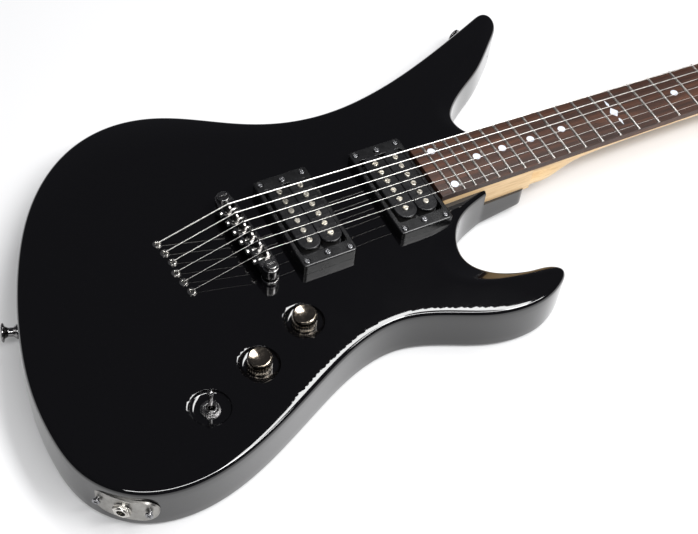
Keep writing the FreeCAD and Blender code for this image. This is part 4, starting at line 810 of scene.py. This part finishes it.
def maple():
    s = Shader("maple")
    rings = s.noise(1.0, 5.0, 0.55, s.stretched((5.0, 60.0, 60.0)), 0.6)
    flecks = s.noise(1.0, 3.0, 0.6, s.stretched((60.0, 900.0, 900.0)))
    base = s.ramp(rings, [(0.3, (0.72, 0.47, 0.22)), (0.5, (0.80, 0.56, 0.29)),
                          (0.72, (0.86, 0.65, 0.38))])
    fine = s.ramp(flecks, [(0.36, (0.82, 0.76, 0.68)), (0.52, (1.0, 1.0, 1.0))])
    s.link(s.multiply(0.8, base, fine), "Base Color")
    s.link(s.span(flecks, 0.3, 0.7, 0.42, 0.32), "Roughness")
    s.set(Coat_Weight=0.3, Coat_Roughness=0.22)
    s.link(s.bump(flecks, 0.06, 0.00008, s.edge(0.0006)), "Normal")
    return s.material


def pearl():
    s = Shader("pearl")
    cloud = s.noise(130.0, 4.0, 0.6, None, 1.5)
    tint = s.ramp(cloud, [(0.3, (0.50, 0.55, 0.62)), (0.5, (0.66, 0.69, 0.74)),
                          (0.7, (0.60, 0.58, 0.68))])
    s.link(tint, "Base Color")
    s.link(s.span(cloud, 0.3, 0.7, 0.12, 0.28), "Roughness")
    s.link(s.bump(cloud, 0.05, 0.0001), "Normal")
    return s.material


def wound_steel():
    """Bright string wire with fine winding turns along it."""
    s = Shader("string_steel")
    s.set(Metallic=1.0)
    turns = s.noise(1.0, 2.0, 0.5, s.stretched((2600.0, 60.0, 60.0)))
    worn = s.noise(120.0, 4.0, 0.6)
    s.link(s.ramp(worn, [(0.3, (0.66, 0.64, 0.61)), (0.7, (0.86, 0.84, 0.80))]), "Base Color")
    s.link(s.span(worn, 0.3, 0.7, 0.3, 0.42), "Roughness")
    s.link(s.bump(turns, 0.12, 0.00005), "Normal")
    return s.material


def coil_tape():
    s = Shader("coil_tape")
    weave = s.noise(1500.0, 3.0, 0.6, s.stretched((1.0, 1.0, 6.0)))
    tint = s.ramp(weave, [(0.35, (0.006, 0.006, 0.006)), (0.65, (0.02, 0.019, 0.018))])
    s.link(tint, "Base Color")
    s.link(s.span(weave, 0.3, 0.7, 0.45, 0.65), "Roughness")
    s.link(s.bump(weave, 0.3, 0.0001), "Normal")
    return s.material


finishes = {
    "black_lacquer": lacquer(),
    "maple": maple(),
    "rosewood": rosewood(),
    "fret_nickel": metal("fret_nickel", (0.82, 0.79, 0.74), 0.3, grain=(60.0, 1.0, 1.0),
                         bevel=0.0003),
    "pearl": pearl(),
    "black_nut": plastic("black_nut", (0.02, 0.02, 0.021), 0.35),
    "steel": metal("steel", (0.55, 0.54, 0.52), 0.28),
    "black_plastic": plastic("black_plastic", (0.014, 0.014, 0.015), 0.4, 0.12),
    "black_chrome": metal("black_chrome", (0.24, 0.235, 0.235), 0.17, bevel=0.0004),
    "ring_plastic": plastic("ring_plastic", (0.005, 0.005, 0.0055), 0.24, 0.1, bevel=0.0005),
    "bobbin_plastic": plastic("bobbin_plastic", (0.009, 0.009, 0.010), 0.22, 0.08, bevel=0.0005),
    "coil_tape": coil_tape(),
    "pole_nickel": metal("pole_nickel", (0.82, 0.77, 0.67), 0.3),
    "magnet": metal("magnet", (0.2, 0.2, 0.2), 0.55, scale=900.0),
    "nickel": metal("nickel", (0.68, 0.66, 0.62), 0.15),
    "black_screw": metal("black_screw", (0.30, 0.30, 0.31), 0.24, bevel=0.0002),
    "string_steel": wound_steel(),
    "satin_nickel": metal("satin_nickel", (0.36, 0.35, 0.33), 0.32, grain=(300.0, 300.0, 20.0)),
    "knob_nickel": metal("knob_nickel", (0.36, 0.31, 0.25), 0.13, bevel=0.0005),
    "saddle_nickel": metal("saddle_nickel", (0.38, 0.37, 0.35), 0.2, bevel=0.0003),
}

slot_of = {part["node"]: part["material_slot"] for part in frame["record"]["subparts"]}
for node_name, node_object in frame["nodes"].items():
    node_object.data.materials.clear()
    node_object.data.materials.append(finishes[slot_of[node_name]])
body_shell.data.materials.clear()
body_shell.data.materials.append(finishes["black_lacquer"])


# ---------------------------------------------------------------- floor, light and camera
# name, width and height in metres, distance, angle above the far side of the table, shift to the
# right, power
lamps = [("overhead", 2.0, 0.42, 1.7, 84, 0.75, 36), ("behind_camera", 2.9, 0.24, 1.9, 112, 0.8, 46)]
far_side = (0.552, 0.834)
right_side = Vector((0.884, -0.461, 0))
floor_half_size = 3.0
floor_gap = 0.0005


def plain_panel(name, width, height, place, target, strength):
    """A soft studio light panel."""
    lamp = bpy.data.lights.new(name, "AREA")
    lamp.shape = "RECTANGLE"
    lamp.size, lamp.size_y = width, height
    lamp.energy = strength
    holder = bpy.data.objects.new(name, lamp)
    bpy.context.scene.collection.objects.link(holder)
    holder.location = place
    holder.rotation_euler = (target - place).to_track_quat("-Z", "Y").to_euler()


def studio():
    """A pale table under two soft boxes in an otherwise dark room."""
    scene = bpy.context.scene
    size = floor_half_size
    floor_z = cad_box[0][2] - floor_gap
    mesh = bpy.data.meshes.new("floor")
    mesh.from_pydata([(-size, -size, floor_z), (size, -size, floor_z), (size, size, floor_z),
                      (-size, size, floor_z)], [], [(0, 1, 2, 3)])
    floor = bpy.data.objects.new("floor", mesh)
    scene.collection.objects.link(floor)
    paint = bpy.data.materials.new("floor_paint")
    paint.use_nodes = True
    surface = paint.node_tree.nodes["Principled BSDF"]
    surface.inputs["Base Color"].default_value = (0.60, 0.60, 0.605, 1)
    surface.inputs["Roughness"].default_value = 0.9
    surface.inputs["Specular IOR Level"].default_value = 0.0
    surface.inputs["Emission Color"].default_value = (1.0, 1.0, 1.0, 1)
    surface.inputs["Emission Strength"].default_value = 0.2
    mesh.materials.append(paint)
    world = bpy.data.worlds.new("studio")
    scene.world = world
    world.use_nodes = True
    backdrop = world.node_tree.nodes["Background"]
    backdrop.inputs["Color"].default_value = (0.86, 0.88, 1.0, 1)
    backdrop.inputs["Strength"].default_value = 0.07
    middle = Vector((0.05, -0.02, 0.04))
    for name, width, height, distance, tilt, shift, energy in lamps:
        reach = math.radians(tilt)
        away = Vector((far_side[0] * math.cos(reach), far_side[1] * math.cos(reach),
                       math.sin(reach)))
        aside = right_side * shift
        place = middle + away * distance + aside
        plain_panel(name, width, height, place, middle + aside * 0.6, energy)
    scene.view_settings.view_transform = "Standard"
    scene.view_settings.look = "None"


def table_camera():
    """The camera: its three axes and its place in metres."""
    lens = bpy.data.cameras.new("camera")
    lens.lens = 74.19
    lens.sensor_width = 36.0
    lens.clip_end = 20.0
    lens.dof.use_dof = False
    holder = bpy.data.objects.new("camera", lens)
    bpy.context.scene.collection.objects.link(holder)
    right = Vector((0.88358, -0.46084, 0.08312))
    up = Vector((0.31616, 0.71803, 0.62006))
    back = Vector((-0.34543, -0.52160, 0.78014))
    turn = Matrix((right, up, back)).transposed().to_4x4()
    holder.matrix_world = Matrix.Translation((-0.3192, -0.6189, 0.8909)) @ turn
    bpy.context.scene.camera = holder


studio()
table_camera()
